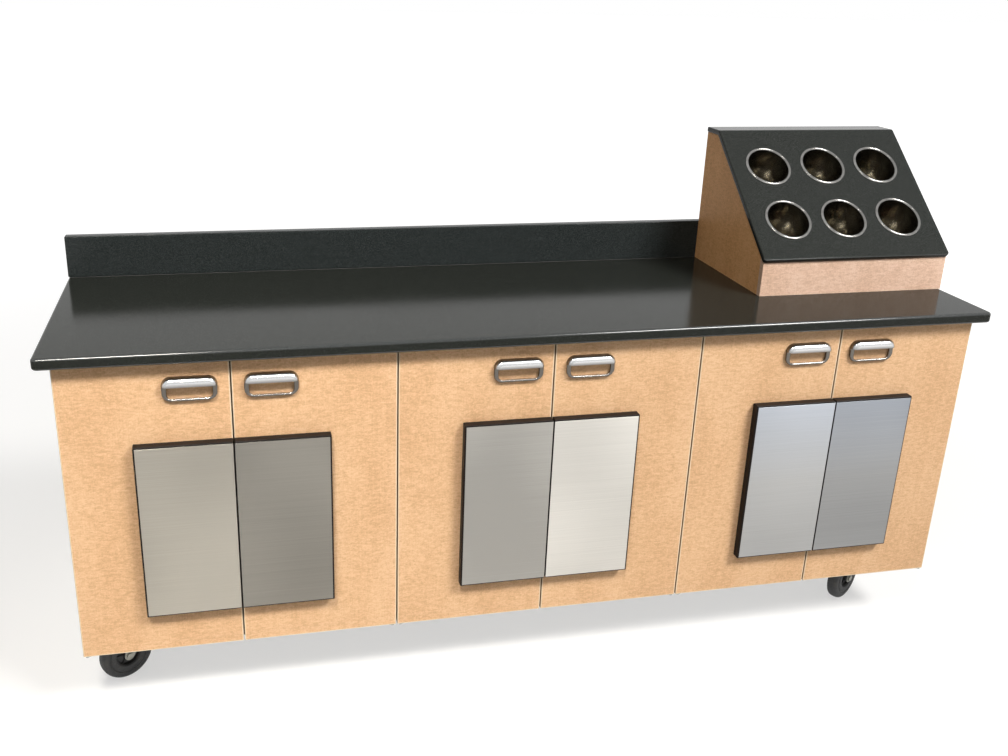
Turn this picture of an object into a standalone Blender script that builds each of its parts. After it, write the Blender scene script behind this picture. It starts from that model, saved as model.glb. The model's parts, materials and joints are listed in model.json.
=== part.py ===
"""Mobile service counter: a three-bay cabinet on swivel casters, with a solid-surface worktop,
a back upstand and a sloping bin that holds six lift-out utensil cylinders.
Metres, +Z up, the front faces -Y and the floor is at Z = 0."""

import math

import bmesh
import bpy
from mathutils import Matrix, Vector

# Gap left between two pieces that touch
FIT = 0.0003

# Worktop and upstand
TOP_LENGTH = 2.134
TOP_DEPTH = 0.595
TOP_THICKNESS = 0.025
TOP_EDGE_RADIUS = 0.006
TOP_CORNER_RADIUS = 0.012
END_OVERHANG = 0.029
FRONT_OVERHANG = 0.0255
BACK_OVERHANG = 0.025
SPLASH_HEIGHT = 0.1015
SPLASH_THICKNESS = 0.025
SPLASH_EDGE_RADIUS = 0.003

# Carcass
CASTER_HEIGHT = 0.156
CABINET_HEIGHT = 0.680
BOARD = 0.019
BACK_BOARD = 0.012
BOARD_EDGE = 0.0008
RAIL_DEPTH = 0.090
SHELF_HEIGHT = 0.475
SHELF_SETBACK = 0.030
SHELF_CLEARANCE = 0.002
PEG_RADIUS = 0.0035
PEG_REACH = 0.010
PEG_INSET = 0.060

# Doors and their pivots
BAYS = 3
DOOR_THICKNESS = 0.019
DOOR_GAP = 0.003
DOOR_REVEAL = 0.003
DOOR_EDGE = 0.001
PIVOT_INSET_X = 0.008
PIVOT_INSET_Y = 0.005
PIN_RADIUS = 0.0025
PIN_CLEARANCE = 0.0005
PIN_LENGTH = 0.010
PIN_SIDES = 12
LEAF = 0.002
LEAF_CLEARANCE = 0.0005
LEAF_LENGTH = 0.040
LEAF_TIP_RADIUS = 0.0045
FLANGE_HEIGHT = 0.014

# Raised panels on the doors
PANEL_WIDTH = 0.2005
PANEL_HEIGHT = 0.4035
PANEL_RISE = 0.0985
CORE_THICKNESS = 0.0205
SHEET_THICKNESS = 0.0012
SHEET_INSET = 0.0035
CORE_EDGE = 0.0012

# Cup pulls
HANDLE_WIDTH = 0.1115
HANDLE_HEIGHT = 0.053
HANDLE_PROJECTION = 0.017
HANDLE_END_RADIUS = 0.019
HANDLE_WALL = 0.0025
HANDLE_DROP = 0.0595
HANDLE_EDGE_INSET = 0.0247
HOOD_HEIGHT = 0.0188
HOOD_ROUND = 0.0115
RIM_WIDTH = 0.0055
RIM_SIDE = 0.010
RIM_CORNER = 0.010
RIM_THICKNESS = 0.007
RIM_EDGE = 0.002

# Sloping bin
BIN_WIDTH = 0.4985
BIN_DEPTH = 0.372
BIN_FRONT_HEIGHT = 0.0835
BIN_BACK_HEIGHT = 0.3415
BIN_LEDGE = 0.063
BIN_BOARD = 0.016
BIN_TOP_THICKNESS = 0.0127
BIN_TOP_OVERHANG = 0.003
BIN_TOP_CORNER = 0.008
BIN_TOP_EDGE = 0.003
BIN_END_INSET = 0.001

# Utensil cylinders
CYLINDER_COLUMNS = 3
CYLINDER_ROWS = 2
COLUMN_PITCH = 0.152
ROW_PITCH = 0.169
RIM_RADIUS = 0.0605
ROLL_HEIGHT = 0.004
MOUTH_RADIUS = 0.0525
BODY_RADIUS = 0.0545
BASE_RADIUS = 0.0485
CYLINDER_DEPTH = 0.130
CYLINDER_WALL = 0.0015
BASE_ROUND = 0.006
HOLE_CLEARANCE = 0.002
CYLINDER_SIDES = 24

# Casters
WHEEL_RADIUS = 0.0625
WHEEL_WIDTH = 0.032
WHEEL_SIDES = 20
HUB_RADIUS = 0.028
AXLE_RADIUS = 0.005
AXLE_CLEARANCE = 0.0005
AXLE_HEAD_RADIUS = 0.0085
AXLE_HEAD = 0.005
CASTER_TRAIL = 0.035
CASTER_INSET_X = 0.1015
CASTER_INSET_Y = 0.156
CASTER_TURN = math.radians(31)
FORK_LEG = 0.003
FORK_CLEARANCE = 0.0015
FORK_EYE_RADIUS = 0.012
FORK_CROWN = 0.005
PLATE_LENGTH = 0.095
PLATE_WIDTH = 0.067
PLATE_THICKNESS = 0.003
RACE_RADIUS = 0.026
RACE_HEIGHT = 0.008
PLATE_CORNER = 0.008

# Levels and planes that follow from the sizes above
TOP_UNDER = CASTER_HEIGHT + CABINET_HEIGHT
TOP_FACE = TOP_UNDER + TOP_THICKNESS
CABINET_WIDTH = TOP_LENGTH - 2 * END_OVERHANG
PANEL_PROJECTION = CORE_THICKNESS + SHEET_THICKNESS + 2 * FIT
FRONT_REACH = max(HANDLE_PROJECTION + FIT, PANEL_PROJECTION, FRONT_OVERHANG)
RIGHT_REACH = max(BIN_TOP_OVERHANG - BIN_END_INSET, 0.0)
DOOR_FACE_Y = FRONT_REACH - (FRONT_REACH + TOP_DEPTH - FRONT_OVERHANG) / 2
TOP_FRONT_Y = DOOR_FACE_Y - FRONT_OVERHANG
TOP_BACK_Y = TOP_FRONT_Y + TOP_DEPTH
CARCASS_FRONT_Y = DOOR_FACE_Y + DOOR_THICKNESS + DOOR_REVEAL
CARCASS_BACK_Y = TOP_BACK_Y - BACK_OVERHANG
INSIDE_BACK_Y = CARCASS_BACK_Y - BACK_BOARD - FIT
DOOR_PITCH = CABINET_WIDTH / (2 * BAYS)
DOOR_WIDTH = DOOR_PITCH - DOOR_GAP
DOOR_BOTTOM = CASTER_HEIGHT
DOOR_TOP = TOP_UNDER - LEAF - 2 * LEAF_CLEARANCE
INNER_HALF = CABINET_WIDTH / 2 - BOARD - FIT
SPLASH_FRONT_Y = TOP_BACK_Y - SPLASH_THICKNESS

for old in list(bpy.data.objects):
    bpy.data.objects.remove(old, do_unlink=True)


def new_collection(name):
    made = bpy.data.collections.new(name)
    bpy.context.scene.collection.children.link(made)
    return made


PARTS = new_collection("mobile_service_counter")
HELPERS = new_collection("helpers")


def new_material(name, colour, roughness, metallic=0.0):
    made = bpy.data.materials.new(name)
    made.use_nodes = True
    shader = made.node_tree.nodes["Principled BSDF"]
    shader.inputs["Base Color"].default_value = (*colour, 1.0)
    shader.inputs["Roughness"].default_value = roughness
    shader.inputs["Metallic"].default_value = metallic
    return made


MAPLE = new_material("maple_laminate", (0.72, 0.46, 0.25), 0.45)
LINER = new_material("pale_melamine", (0.75, 0.72, 0.66), 0.5)
CHARCOAL = new_material("charcoal_solid_surface", (0.045, 0.045, 0.045), 0.4)
STEEL = new_material("brushed_stainless", (0.55, 0.55, 0.54), 0.32, 1.0)
POLISHED = new_material("polished_stainless", (0.62, 0.62, 0.60), 0.18, 1.0)
NICKEL = new_material("satin_nickel", (0.60, 0.59, 0.57), 0.25, 1.0)
BLACK_EDGE = new_material("black_edging", (0.02, 0.016, 0.013), 0.5)
ZINC = new_material("zinc_plated_steel", (0.42, 0.43, 0.45), 0.4, 1.0)
TYRE = new_material("grey_rubber", (0.05, 0.05, 0.052), 0.7)


# The bin's top may reach past the worktop's right end, which moves the middle of the whole
ORIGIN = bpy.data.objects.new("counter_origin", None)
PARTS.objects.link(ORIGIN)
ORIGIN.location.x = -RIGHT_REACH / 2


def scratch_object(mesh):
    made = bpy.data.objects.new("scratch", mesh)
    HELPERS.objects.link(made)
    return made


def baked(obj):
    """The object's evaluated mesh with its seams welded; the object itself is removed."""
    graph = bpy.context.evaluated_depsgraph_get()
    mesh = bpy.data.meshes.new_from_object(obj.evaluated_get(graph))
    bpy.data.objects.remove(obj, do_unlink=True)
    bm = bmesh.new()
    bm.from_mesh(mesh)
    bmesh.ops.remove_doubles(bm, verts=bm.verts, dist=1e-6)
    bmesh.ops.recalc_face_normals(bm, faces=bm.faces)
    bm.to_mesh(mesh)
    bm.free()
    return mesh


def boxes(*corner_pairs):
    """One mesh with a closed box for each pair of low and high corners."""
    bm = bmesh.new()
    for low, high in corner_pairs:
        middle = (Vector(low) + Vector(high)) / 2
        size = Vector(high) - Vector(low)
        bmesh.ops.create_cube(bm, size=1.0, matrix=Matrix.LocRotScale(middle, None, size))
    mesh = bpy.data.meshes.new("boxes")
    bm.to_mesh(mesh)
    bm.free()
    return mesh


def rod(radius, length, sides, matrix=Matrix.Identity(4), turn=0.0):
    """A closed cylinder about Z, centred on the origin of the given matrix."""
    bm = bmesh.new()
    place = matrix @ Matrix.Rotation(turn, 4, "Z")
    bmesh.ops.create_cone(
        bm, cap_ends=True, segments=sides, radius1=radius, radius2=radius, depth=length, matrix=place
    )
    mesh = bpy.data.meshes.new("rod")
    bm.to_mesh(mesh)
    bm.free()
    return mesh


def turned(profile, sides, closed=False):
    """A profile of (radius, height) points turned about Z."""
    mesh = bpy.data.meshes.new("turned")
    points = [(radius, 0.0, height) for radius, height in profile]
    edges = [(i, i + 1) for i in range(len(points) - 1)]
    if closed:
        edges.append((len(points) - 1, 0))
    mesh.from_pydata(points, edges, [])
    obj = scratch_object(mesh)
    screw = obj.modifiers.new("turn", "SCREW")
    screw.steps = sides
    screw.render_steps = sides
    screw.use_merge_vertices = True
    screw.merge_threshold = 1e-5
    return baked(obj)


def extruded(outlines, thickness, edge=0.0, edge_steps=2):
    """Flat outlines in XY, extruded evenly about Z = 0; an outline inside another is a hole."""
    curve = bpy.data.curves.new("outline", "CURVE")
    curve.dimensions = "2D"
    curve.fill_mode = "BOTH"
    curve.extrude = thickness / 2 - edge
    curve.bevel_depth = edge
    curve.bevel_resolution = edge_steps - 1
    curve.offset = -edge
    for outline in outlines:
        spline = curve.splines.new("POLY")
        spline.points.add(len(outline) - 1)
        for point, (x, y) in zip(spline.points, outline):
            point.co = (x, y, 0.0, 1.0)
        spline.use_cyclic_u = True
    return baked(scratch_object(curve))


def combined(mesh, other, operation):
    """The first mesh after a Boolean with the second."""
    target = scratch_object(mesh)
    tool = scratch_object(other)
    tool.hide_render = True
    tool.display_type = "WIRE"
    boolean = target.modifiers.new("boolean", "BOOLEAN")
    boolean.operation = operation
    boolean.solver = "EXACT"
    boolean.object = tool
    result = baked(target)
    bpy.data.objects.remove(tool, do_unlink=True)
    return result


def united(first, *others):
    for other in others:
        first = combined(first, other, "UNION")
    return first


def moved(mesh, matrix):
    made = mesh.copy()
    made.transform(matrix)
    if matrix.determinant() < 0:
        made.flip_normals()
    return made


def arc(centre_x, centre_y, radius, start, end, steps):
    angles = [math.radians(start + (end - start) * i / steps) for i in range(steps + 1)]
    return [(centre_x + radius * math.cos(a), centre_y + radius * math.sin(a)) for a in angles]


def rounded_rectangle(width, height, radius, steps=4):
    x = width / 2 - radius
    y = height / 2 - radius
    return (
        arc(x, y, radius, 0, 90, steps)
        + arc(-x, y, radius, 90, 180, steps)
        + arc(-x, -y, radius, 180, 270, steps)
        + arc(x, -y, radius, 270, 360, steps)
    )


def add_part(name, mesh, material, parent=None, location=(0, 0, 0), rotation=(0, 0, 0), edge=0.0):
    """A named part; edge is the width of its eased edges."""
    mesh.name = name
    mesh.materials.clear()
    mesh.materials.append(material)
    mesh.shade_smooth()
    mesh.set_sharp_from_angle(angle=math.radians(32))
    obj = bpy.data.objects.new(name, mesh)
    PARTS.objects.link(obj)
    obj.parent = parent or ORIGIN
    obj.location = location
    obj.rotation_euler = rotation
    if edge:
        bevel = obj.modifiers.new("eased_edges", "BEVEL")
        bevel.width = edge
        bevel.segments = 1
        bevel.limit_method = "ANGLE"
        bevel.angle_limit = math.radians(35)
    return obj


def add_axis(name, location, rotation=(0, 0, 0), parent=None):
    """An empty on a moving piece's axis."""
    made = bpy.data.objects.new(name, None)
    PARTS.objects.link(made)
    made.empty_display_size = 0.05
    made.parent = parent or ORIGIN
    made.location = location
    made.rotation_euler = rotation
    return made


def hinge_edge_x(door):
    """X of a door's hinge edge; doors are numbered from 0 at the left."""
    left = -CABINET_WIDTH / 2 + door * DOOR_PITCH + DOOR_GAP / 2
    return left if door % 2 == 0 else left + DOOR_WIDTH


def door_side(door):
    """+1 for a door hinged at its left edge, -1 for one hinged at its right edge."""
    return 1 if door % 2 == 0 else -1


def pivot_leaf():
    """Bottom pivot of a left-hinged door: flange on the carcass, tongue below the door and pin.
    The origin is on the door's front face at its hinge edge, at the level of its lower edge."""
    tongue_top = -LEAF_CLEARANCE
    flange_x = 2 * PIVOT_INSET_X + LEAF
    flange_y = DOOR_THICKNESS + DOOR_REVEAL - LEAF
    tongue_end = flange_y + LEAF / 2
    outline = arc(PIVOT_INSET_X, PIVOT_INSET_Y, LEAF_TIP_RADIUS, 150, 330, 6)
    outline += [(flange_x + LEAF_LENGTH, flange_y - LEAF)]
    outline += [(flange_x + LEAF_LENGTH, tongue_end), (flange_x, tongue_end)]
    tongue = moved(extruded([outline], LEAF), Matrix.Translation((0, 0, tongue_top - LEAF / 2)))
    flange = boxes(
        (
            (flange_x + LEAF / 2, flange_y, tongue_top - LEAF / 2),
            (flange_x + LEAF_LENGTH - LEAF / 2, flange_y + LEAF + FIT, FLANGE_HEIGHT),
        )
    )
    pin_length = PIN_LENGTH + LEAF_CLEARANCE + LEAF / 2
    pin_middle = PIN_LENGTH - pin_length / 2
    pin = rod(
        PIN_RADIUS,
        pin_length,
        PIN_SIDES,
        Matrix.Translation((PIVOT_INSET_X, PIVOT_INSET_Y, pin_middle)),
    )
    return united(tongue, flange, pin)


def with_pivots(board, level, upwards):
    """The board with the pivot of every door joined to its front edge."""
    leaf = pivot_leaf()
    for door in range(2 * BAYS):
        flip = Matrix.Diagonal((door_side(door), 1, 1 if upwards else -1, 1))
        place = Matrix.Translation((hinge_edge_x(door), DOOR_FACE_Y, level))
        board = combined(board, moved(leaf, place @ flip), "UNION")
    return board


def with_pegs(board, face_x, direction):
    """The upright with its two shelf pegs on the face that looks along +X or -X."""
    for y in (CARCASS_FRONT_Y + PEG_INSET, INSIDE_BACK_Y - PEG_INSET):
        middle = face_x + direction * (PEG_REACH - PEG_RADIUS) / 2
        place = Matrix.Translation((middle, y, SHELF_HEIGHT - FIT - PEG_RADIUS))
        along_x = place @ Matrix.Rotation(math.pi / 2, 4, "Y")
        board = combined(board, rod(PEG_RADIUS, PEG_REACH + PEG_RADIUS, 8, along_x, math.pi / 8), "UNION")
    return board


def add_carcass():
    front, back = CARCASS_FRONT_Y, INSIDE_BACK_Y
    upright_top = TOP_UNDER - FIT
    rail_bottom = upright_top - BOARD
    deck_top = CASTER_HEIGHT + BOARD
    half = CABINET_WIDTH / 2

    for name, side in (("left_end_panel", -1), ("right_end_panel", 1)):
        low = (min(side * half, side * (half - BOARD)), front, CASTER_HEIGHT)
        high = (max(side * half, side * (half - BOARD)), CARCASS_BACK_Y, upright_top)
        upright = with_pegs(boxes((low, high)), side * (half - BOARD), -side)
        add_part(name, upright, MAPLE)

    for name, bay in (("left_partition", 1), ("right_partition", 2)):
        x = -half + 2 * bay * DOOR_PITCH
        upright = boxes(
            ((x - BOARD / 2, front, deck_top + FIT), (x + BOARD / 2, back, rail_bottom - FIT))
        )
        upright = with_pegs(upright, x - BOARD / 2, -1)
        upright = with_pegs(upright, x + BOARD / 2, 1)
        add_part(name, upright, LINER)

    deck = boxes(((-INNER_HALF, front, CASTER_HEIGHT), (INNER_HALF, back, deck_top)))
    add_part("deck_panel", with_pivots(deck, DOOR_BOTTOM, True), LINER)
    rail = boxes(((-INNER_HALF, front, rail_bottom), (INNER_HALF, front + RAIL_DEPTH, upright_top)))
    add_part("front_top_rail", with_pivots(rail, DOOR_TOP, False), LINER)
    rail = boxes(((-INNER_HALF, back - RAIL_DEPTH, rail_bottom), (INNER_HALF, back, upright_top)))
    add_part("rear_top_rail", rail, LINER, edge=BOARD_EDGE)
    panel = boxes(((-INNER_HALF, back + FIT, CASTER_HEIGHT), (INNER_HALF, CARCASS_BACK_Y, upright_top)))
    add_part("back_panel", panel, MAPLE)

    for bay in range(BAYS):
        left = -half + 2 * bay * DOOR_PITCH + (BOARD if bay == 0 else BOARD / 2)
        right = -half + 2 * (bay + 1) * DOOR_PITCH - (BOARD if bay == BAYS - 1 else BOARD / 2)
        low = (left + SHELF_CLEARANCE, front + SHELF_SETBACK, SHELF_HEIGHT)
        high = (right - SHELF_CLEARANCE, back - SHELF_CLEARANCE, SHELF_HEIGHT + BOARD)
        add_part(f"shelf_{bay + 1}", boxes((low, high)), LINER, edge=BOARD_EDGE)


def add_worktop():
    half = TOP_LENGTH / 2
    outline = [(half, TOP_BACK_Y), (-half, TOP_BACK_Y)]
    radius = TOP_CORNER_RADIUS
    outline += arc(-half + radius, TOP_FRONT_Y + radius, radius, 180, 270, 4)
    outline += arc(half - radius, TOP_FRONT_Y + radius, radius, 270, 360, 4)
    slab = extruded([outline], TOP_THICKNESS)
    top = add_part("countertop", slab, CHARCOAL, location=(0, 0, TOP_UNDER + TOP_THICKNESS / 2))
    bevel = top.modifiers.new("rounded_edges", "BEVEL")
    bevel.width = TOP_EDGE_RADIUS
    bevel.segments = 3
    bevel.limit_method = "ANGLE"
    bevel.angle_limit = math.radians(35)
    splash = boxes(
        (
            (-half, SPLASH_FRONT_Y, TOP_FACE + FIT),
            (half, TOP_BACK_Y, TOP_FACE + SPLASH_HEIGHT),
        )
    )
    add_part("backsplash", splash, CHARCOAL, edge=SPLASH_EDGE_RADIUS)


def bin_section(y_front, y_back, lift):
    """Side view of the bin as (y, z) points, from the worktop to its sloping upper edge."""
    run = BIN_DEPTH - BIN_LEDGE
    slope = (BIN_BACK_HEIGHT - BIN_FRONT_HEIGHT) / run
    origin = SPLASH_FRONT_Y - FIT - BIN_DEPTH
    crease = origin + run
    base = TOP_FACE + FIT
    front_z = TOP_FACE + BIN_FRONT_HEIGHT + slope * (y_front - origin)
    back_z = TOP_FACE + BIN_BACK_HEIGHT
    points = [(y_back, base), (y_front, base), (y_front, front_z - lift)]
    if y_back > crease:
        return points + [(crease, back_z - lift), (y_back, back_z - lift)]
    return points + [(y_back, TOP_FACE + BIN_FRONT_HEIGHT + slope * (y_back - origin) - lift)]


def add_bin():
    right = TOP_LENGTH / 2 - BIN_END_INSET
    left = right - BIN_WIDTH
    back_y = SPLASH_FRONT_Y - FIT
    front_y = back_y - BIN_DEPTH
    run = BIN_DEPTH - BIN_LEDGE
    rise = BIN_BACK_HEIGHT - BIN_FRONT_HEIGHT
    slope = math.atan2(rise, run)
    to_section = Matrix(((0, 0, 1, 0), (1, 0, 0, 0), (0, 1, 0, 0), (0, 0, 0, 1)))

    side_front = front_y + BIN_BOARD + FIT
    for name, x in (("bin_left_side", left + BIN_BOARD / 2), ("bin_right_side", right - BIN_BOARD / 2)):
        side = extruded([bin_section(side_front, back_y, 0)], BIN_BOARD)
        add_part(name, moved(side, Matrix.Translation((x, 0, 0)) @ to_section), MAPLE)
    front = extruded([bin_section(front_y, front_y + BIN_BOARD, 0)], BIN_WIDTH)
    middle = (left + right) / 2
    add_part("bin_front_panel", moved(front, Matrix.Translation((middle, 0, 0)) @ to_section), MAPLE)
    back_board = boxes(
        (
            (left + BIN_BOARD + FIT, back_y - BIN_BOARD, TOP_FACE + FIT),
            (right - BIN_BOARD - FIT, back_y, TOP_FACE + BIN_BACK_HEIGHT),
        )
    )
    add_part("bin_back_panel", back_board, MAPLE)

    along = Vector((math.cos(slope), math.sin(slope)))
    normal = Vector((-math.sin(slope), math.cos(slope)))
    foot = Vector((front_y, TOP_FACE + BIN_FRONT_HEIGHT))
    low_edge = foot + normal * FIT - along * (BIN_TOP_OVERHANG + BIN_TOP_CORNER)
    bend = math.tan(slope / 2)
    crease = Vector((front_y + run, TOP_FACE + BIN_BACK_HEIGHT + FIT)) + Vector((-bend * FIT, 0))
    top_crease = crease + Vector((-bend * BIN_TOP_THICKNESS, BIN_TOP_THICKNESS))
    ledge_end = Vector((back_y, crease.y))
    section = [
        low_edge,
        crease,
        ledge_end,
        ledge_end + Vector((0, BIN_TOP_THICKNESS)),
        top_crease,
        low_edge + normal * BIN_TOP_THICKNESS,
    ]
    slab_width = BIN_WIDTH + 2 * BIN_TOP_OVERHANG
    slab = extruded([[tuple(p) for p in section]], slab_width + 2 * BIN_TOP_CORNER)
    slab = moved(slab, Matrix.Translation((middle, 0, 0)) @ to_section)
    half, low_end, corner = slab_width / 2, -BIN_TOP_OVERHANG, BIN_TOP_CORNER
    trim = [(half, 2 * BIN_DEPTH), (-half, 2 * BIN_DEPTH)]
    trim += arc(-half + corner, low_end + corner, corner, 180, 270, 3)
    trim += arc(half - corner, low_end + corner, corner, 270, 360, 3)
    on_slope = Matrix.Translation((middle, *foot)) @ Matrix.Rotation(slope, 4, "X")
    rounded = scratch_object(combined(slab, moved(extruded([trim], BIN_DEPTH), on_slope), "INTERSECT"))
    bevel = rounded.modifiers.new("rounded_edges", "BEVEL")
    bevel.width = BIN_TOP_EDGE
    bevel.segments = 2
    bevel.limit_method = "ANGLE"
    bevel.angle_limit = math.radians(45)
    slab = baked(rounded)

    face_start = foot + normal * (BIN_TOP_THICKNESS + FIT)
    face_length = math.hypot(run, rise)
    cylinder = utensil_cylinder()
    bore = rod(BODY_RADIUS + HOLE_CLEARANCE, 4 * BIN_TOP_THICKNESS, CYLINDER_SIDES)
    places = []
    for row in range(CYLINDER_ROWS):
        for column in range(CYLINDER_COLUMNS):
            up_slope = face_length / 2 + (row - (CYLINDER_ROWS - 1) / 2) * ROW_PITCH
            x = middle + (column - (CYLINDER_COLUMNS - 1) / 2) * COLUMN_PITCH
            y, z = face_start + along * up_slope
            places.append(Vector((x, y, z)))
    for place in places:
        hole = moved(bore, Matrix.Translation(place) @ Matrix.Rotation(slope, 4, "X"))
        slab = combined(slab, hole, "DIFFERENCE")
    add_part("bin_top", slab, CHARCOAL)
    for number, place in enumerate(places, 1):
        seat = place + FIT * Vector((0, normal.x, normal.y))
        add_part(f"utensil_cylinder_{number}", cylinder, POLISHED, location=seat, rotation=(slope, 0, 0))


def utensil_cylinder():
    """Drawn steel cylinder with a rolled rim, its rim's underside at Z = 0."""
    wall = CYLINDER_WALL
    floor = -CYLINDER_DEPTH
    roll_middle = (MOUTH_RADIUS + RIM_RADIUS) / 2
    roll_half = (RIM_RADIUS - MOUTH_RADIUS) / 2
    profile = [(0.0, floor + wall), (BASE_RADIUS - wall - BASE_ROUND, floor + wall)]
    profile += [(BASE_RADIUS - wall, floor + wall + BASE_ROUND), (MOUTH_RADIUS, 0.0)]
    for angle in (135, 90, 45):
        x = roll_middle + roll_half * math.cos(math.radians(angle))
        profile.append((x, ROLL_HEIGHT * math.sin(math.radians(angle))))
    profile += [(RIM_RADIUS, 0.0), (BODY_RADIUS, 0.0)]
    profile += [(BASE_RADIUS, floor + BASE_ROUND), (BASE_RADIUS - BASE_ROUND, floor), (0.0, floor)]
    return turned(profile, CYLINDER_SIDES)


def door_leaf():
    """A left-hinged door with its pivot holes; the origin is on the pivot axis at its lower edge."""
    height = DOOR_TOP - DOOR_BOTTOM
    low = (-PIVOT_INSET_X, -PIVOT_INSET_Y, 0)
    high = (DOOR_WIDTH - PIVOT_INSET_X, DOOR_THICKNESS - PIVOT_INSET_Y, height)
    panel = scratch_object(boxes((low, high)))
    bevel = panel.modifiers.new("edge_band", "BEVEL")
    bevel.width = DOOR_EDGE
    bevel.segments = 1
    panel = baked(panel)
    depth = PIN_LENGTH + LEAF_CLEARANCE
    for z in (0, height):
        hole = rod(PIN_RADIUS + PIN_CLEARANCE, 2 * depth, PIN_SIDES, Matrix.Translation((0, 0, z)))
        panel = combined(panel, hole, "DIFFERENCE")
    return panel


def pillow(inset):
    """Block with the pull's outline and a round front, drawn in all round; its middle is on Y = 0."""
    width = HANDLE_WIDTH - 2 * inset
    height = HANDLE_HEIGHT - 2 * inset
    outline = rounded_rectangle(width, height, HANDLE_END_RADIUS - inset)
    block = extruded([outline], 2 * (HANDLE_PROJECTION - inset), HOOD_ROUND - inset, 4)
    return moved(block, Matrix.Rotation(math.pi / 2, 4, "X"))


def cup_pull():
    """Hooded pull in a rounded frame; the origin is its middle on the door's face."""
    lip = HANDLE_HEIGHT / 2 - HOOD_HEIGHT
    reach = HANDLE_WIDTH
    hood = combined(pillow(0.0), boxes(((-reach, -reach, lip), (reach, 0, reach))), "INTERSECT")
    hood = combined(hood, pillow(HANDLE_WALL), "DIFFERENCE")
    outer = rounded_rectangle(HANDLE_WIDTH - 2 * FIT, HANDLE_HEIGHT - 2 * FIT, HANDLE_END_RADIUS - FIT)
    inner = rounded_rectangle(HANDLE_WIDTH - 2 * RIM_SIDE, HANDLE_HEIGHT - 2 * RIM_WIDTH, RIM_CORNER)
    upright = Matrix.Translation((0, -RIM_THICKNESS / 2, 0)) @ Matrix.Rotation(math.pi / 2, 4, "X")
    frame = moved(extruded([outer, inner], RIM_THICKNESS, RIM_EDGE), upright)
    return united(hood, frame)


def add_doors():
    left_door = door_leaf()
    right_door = moved(left_door, Matrix.Diagonal((-1, 1, 1, 1)))
    pull = cup_pull()
    core = boxes(
        ((-PANEL_WIDTH / 2, -CORE_THICKNESS, 0), (PANEL_WIDTH / 2, 0, PANEL_HEIGHT))
    )
    sheet_low = (-PANEL_WIDTH / 2 + SHEET_INSET, -SHEET_THICKNESS, SHEET_INSET)
    sheet_high = (PANEL_WIDTH / 2 - FIT, 0, PANEL_HEIGHT - SHEET_INSET)
    left_sheet = boxes((sheet_low, sheet_high))
    right_sheet = moved(left_sheet, Matrix.Diagonal((-1, 1, 1, 1)))
    for door in range(2 * BAYS):
        side = door_side(door)
        number = door + 1
        pivot = Vector((hinge_edge_x(door) + side * PIVOT_INSET_X, DOOR_FACE_Y + PIVOT_INSET_Y, DOOR_BOTTOM))
        axis = add_axis(f"door_axis_{number}", pivot)
        add_part(f"door_{number}", left_door if side > 0 else right_door, MAPLE, axis)
        meeting_x = side * (DOOR_WIDTH - PIVOT_INSET_X)
        panel_x = meeting_x - side * PANEL_WIDTH / 2
        face_y = -PIVOT_INSET_Y - FIT
        panel_foot = (panel_x, face_y, PANEL_RISE)
        add_part(f"panel_core_{number}", core, BLACK_EDGE, axis, panel_foot, edge=CORE_EDGE)
        sheet_y = face_y - CORE_THICKNESS - FIT
        sheet = left_sheet if side > 0 else right_sheet
        add_part(f"panel_face_{number}", sheet, STEEL, axis, (panel_x, sheet_y, PANEL_RISE))
        pull_x = meeting_x - side * (HANDLE_EDGE_INSET + HANDLE_WIDTH / 2)
        pull_z = TOP_FACE - HANDLE_DROP - HANDLE_HEIGHT / 2 - DOOR_BOTTOM
        add_part(f"handle_{number}", pull, NICKEL, axis, (pull_x, face_y, pull_z))


def caster_plate():
    """Mounting plate with the upper ball race; the origin is on the swivel axis at the floor."""
    top = CASTER_HEIGHT - FIT
    outline = rounded_rectangle(PLATE_LENGTH, PLATE_WIDTH, PLATE_CORNER, 3)
    plate = moved(extruded([outline], PLATE_THICKNESS), Matrix.Translation((0, 0, top - PLATE_THICKNESS / 2)))
    race_top = top - PLATE_THICKNESS / 2
    race_low = top - PLATE_THICKNESS - RACE_HEIGHT
    profile = [(0.0, race_top), (RACE_RADIUS * 0.8, race_top), (RACE_RADIUS, race_low + RACE_HEIGHT / 2)]
    profile += [(RACE_RADIUS, race_low), (0.0, race_low)]
    return united(plate, turned(profile, 20))


def fork_leg_outline():
    """Side view of a fork leg as (x, z) points, its eye round the axle."""
    crown_top = CASTER_HEIGHT - FIT - PLATE_THICKNESS - RACE_HEIGHT - FIT
    eye_x, eye_z, eye = -CASTER_TRAIL, WHEEL_RADIUS, FORK_EYE_RADIUS
    outline = [(RACE_RADIUS * 0.8, crown_top), (-RACE_RADIUS, crown_top)]
    outline += arc(eye_x, eye_z, eye, 170, 340, 7)
    outline += [(RACE_RADIUS * 0.8, crown_top - 3 * FORK_CROWN)]
    return outline


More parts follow.
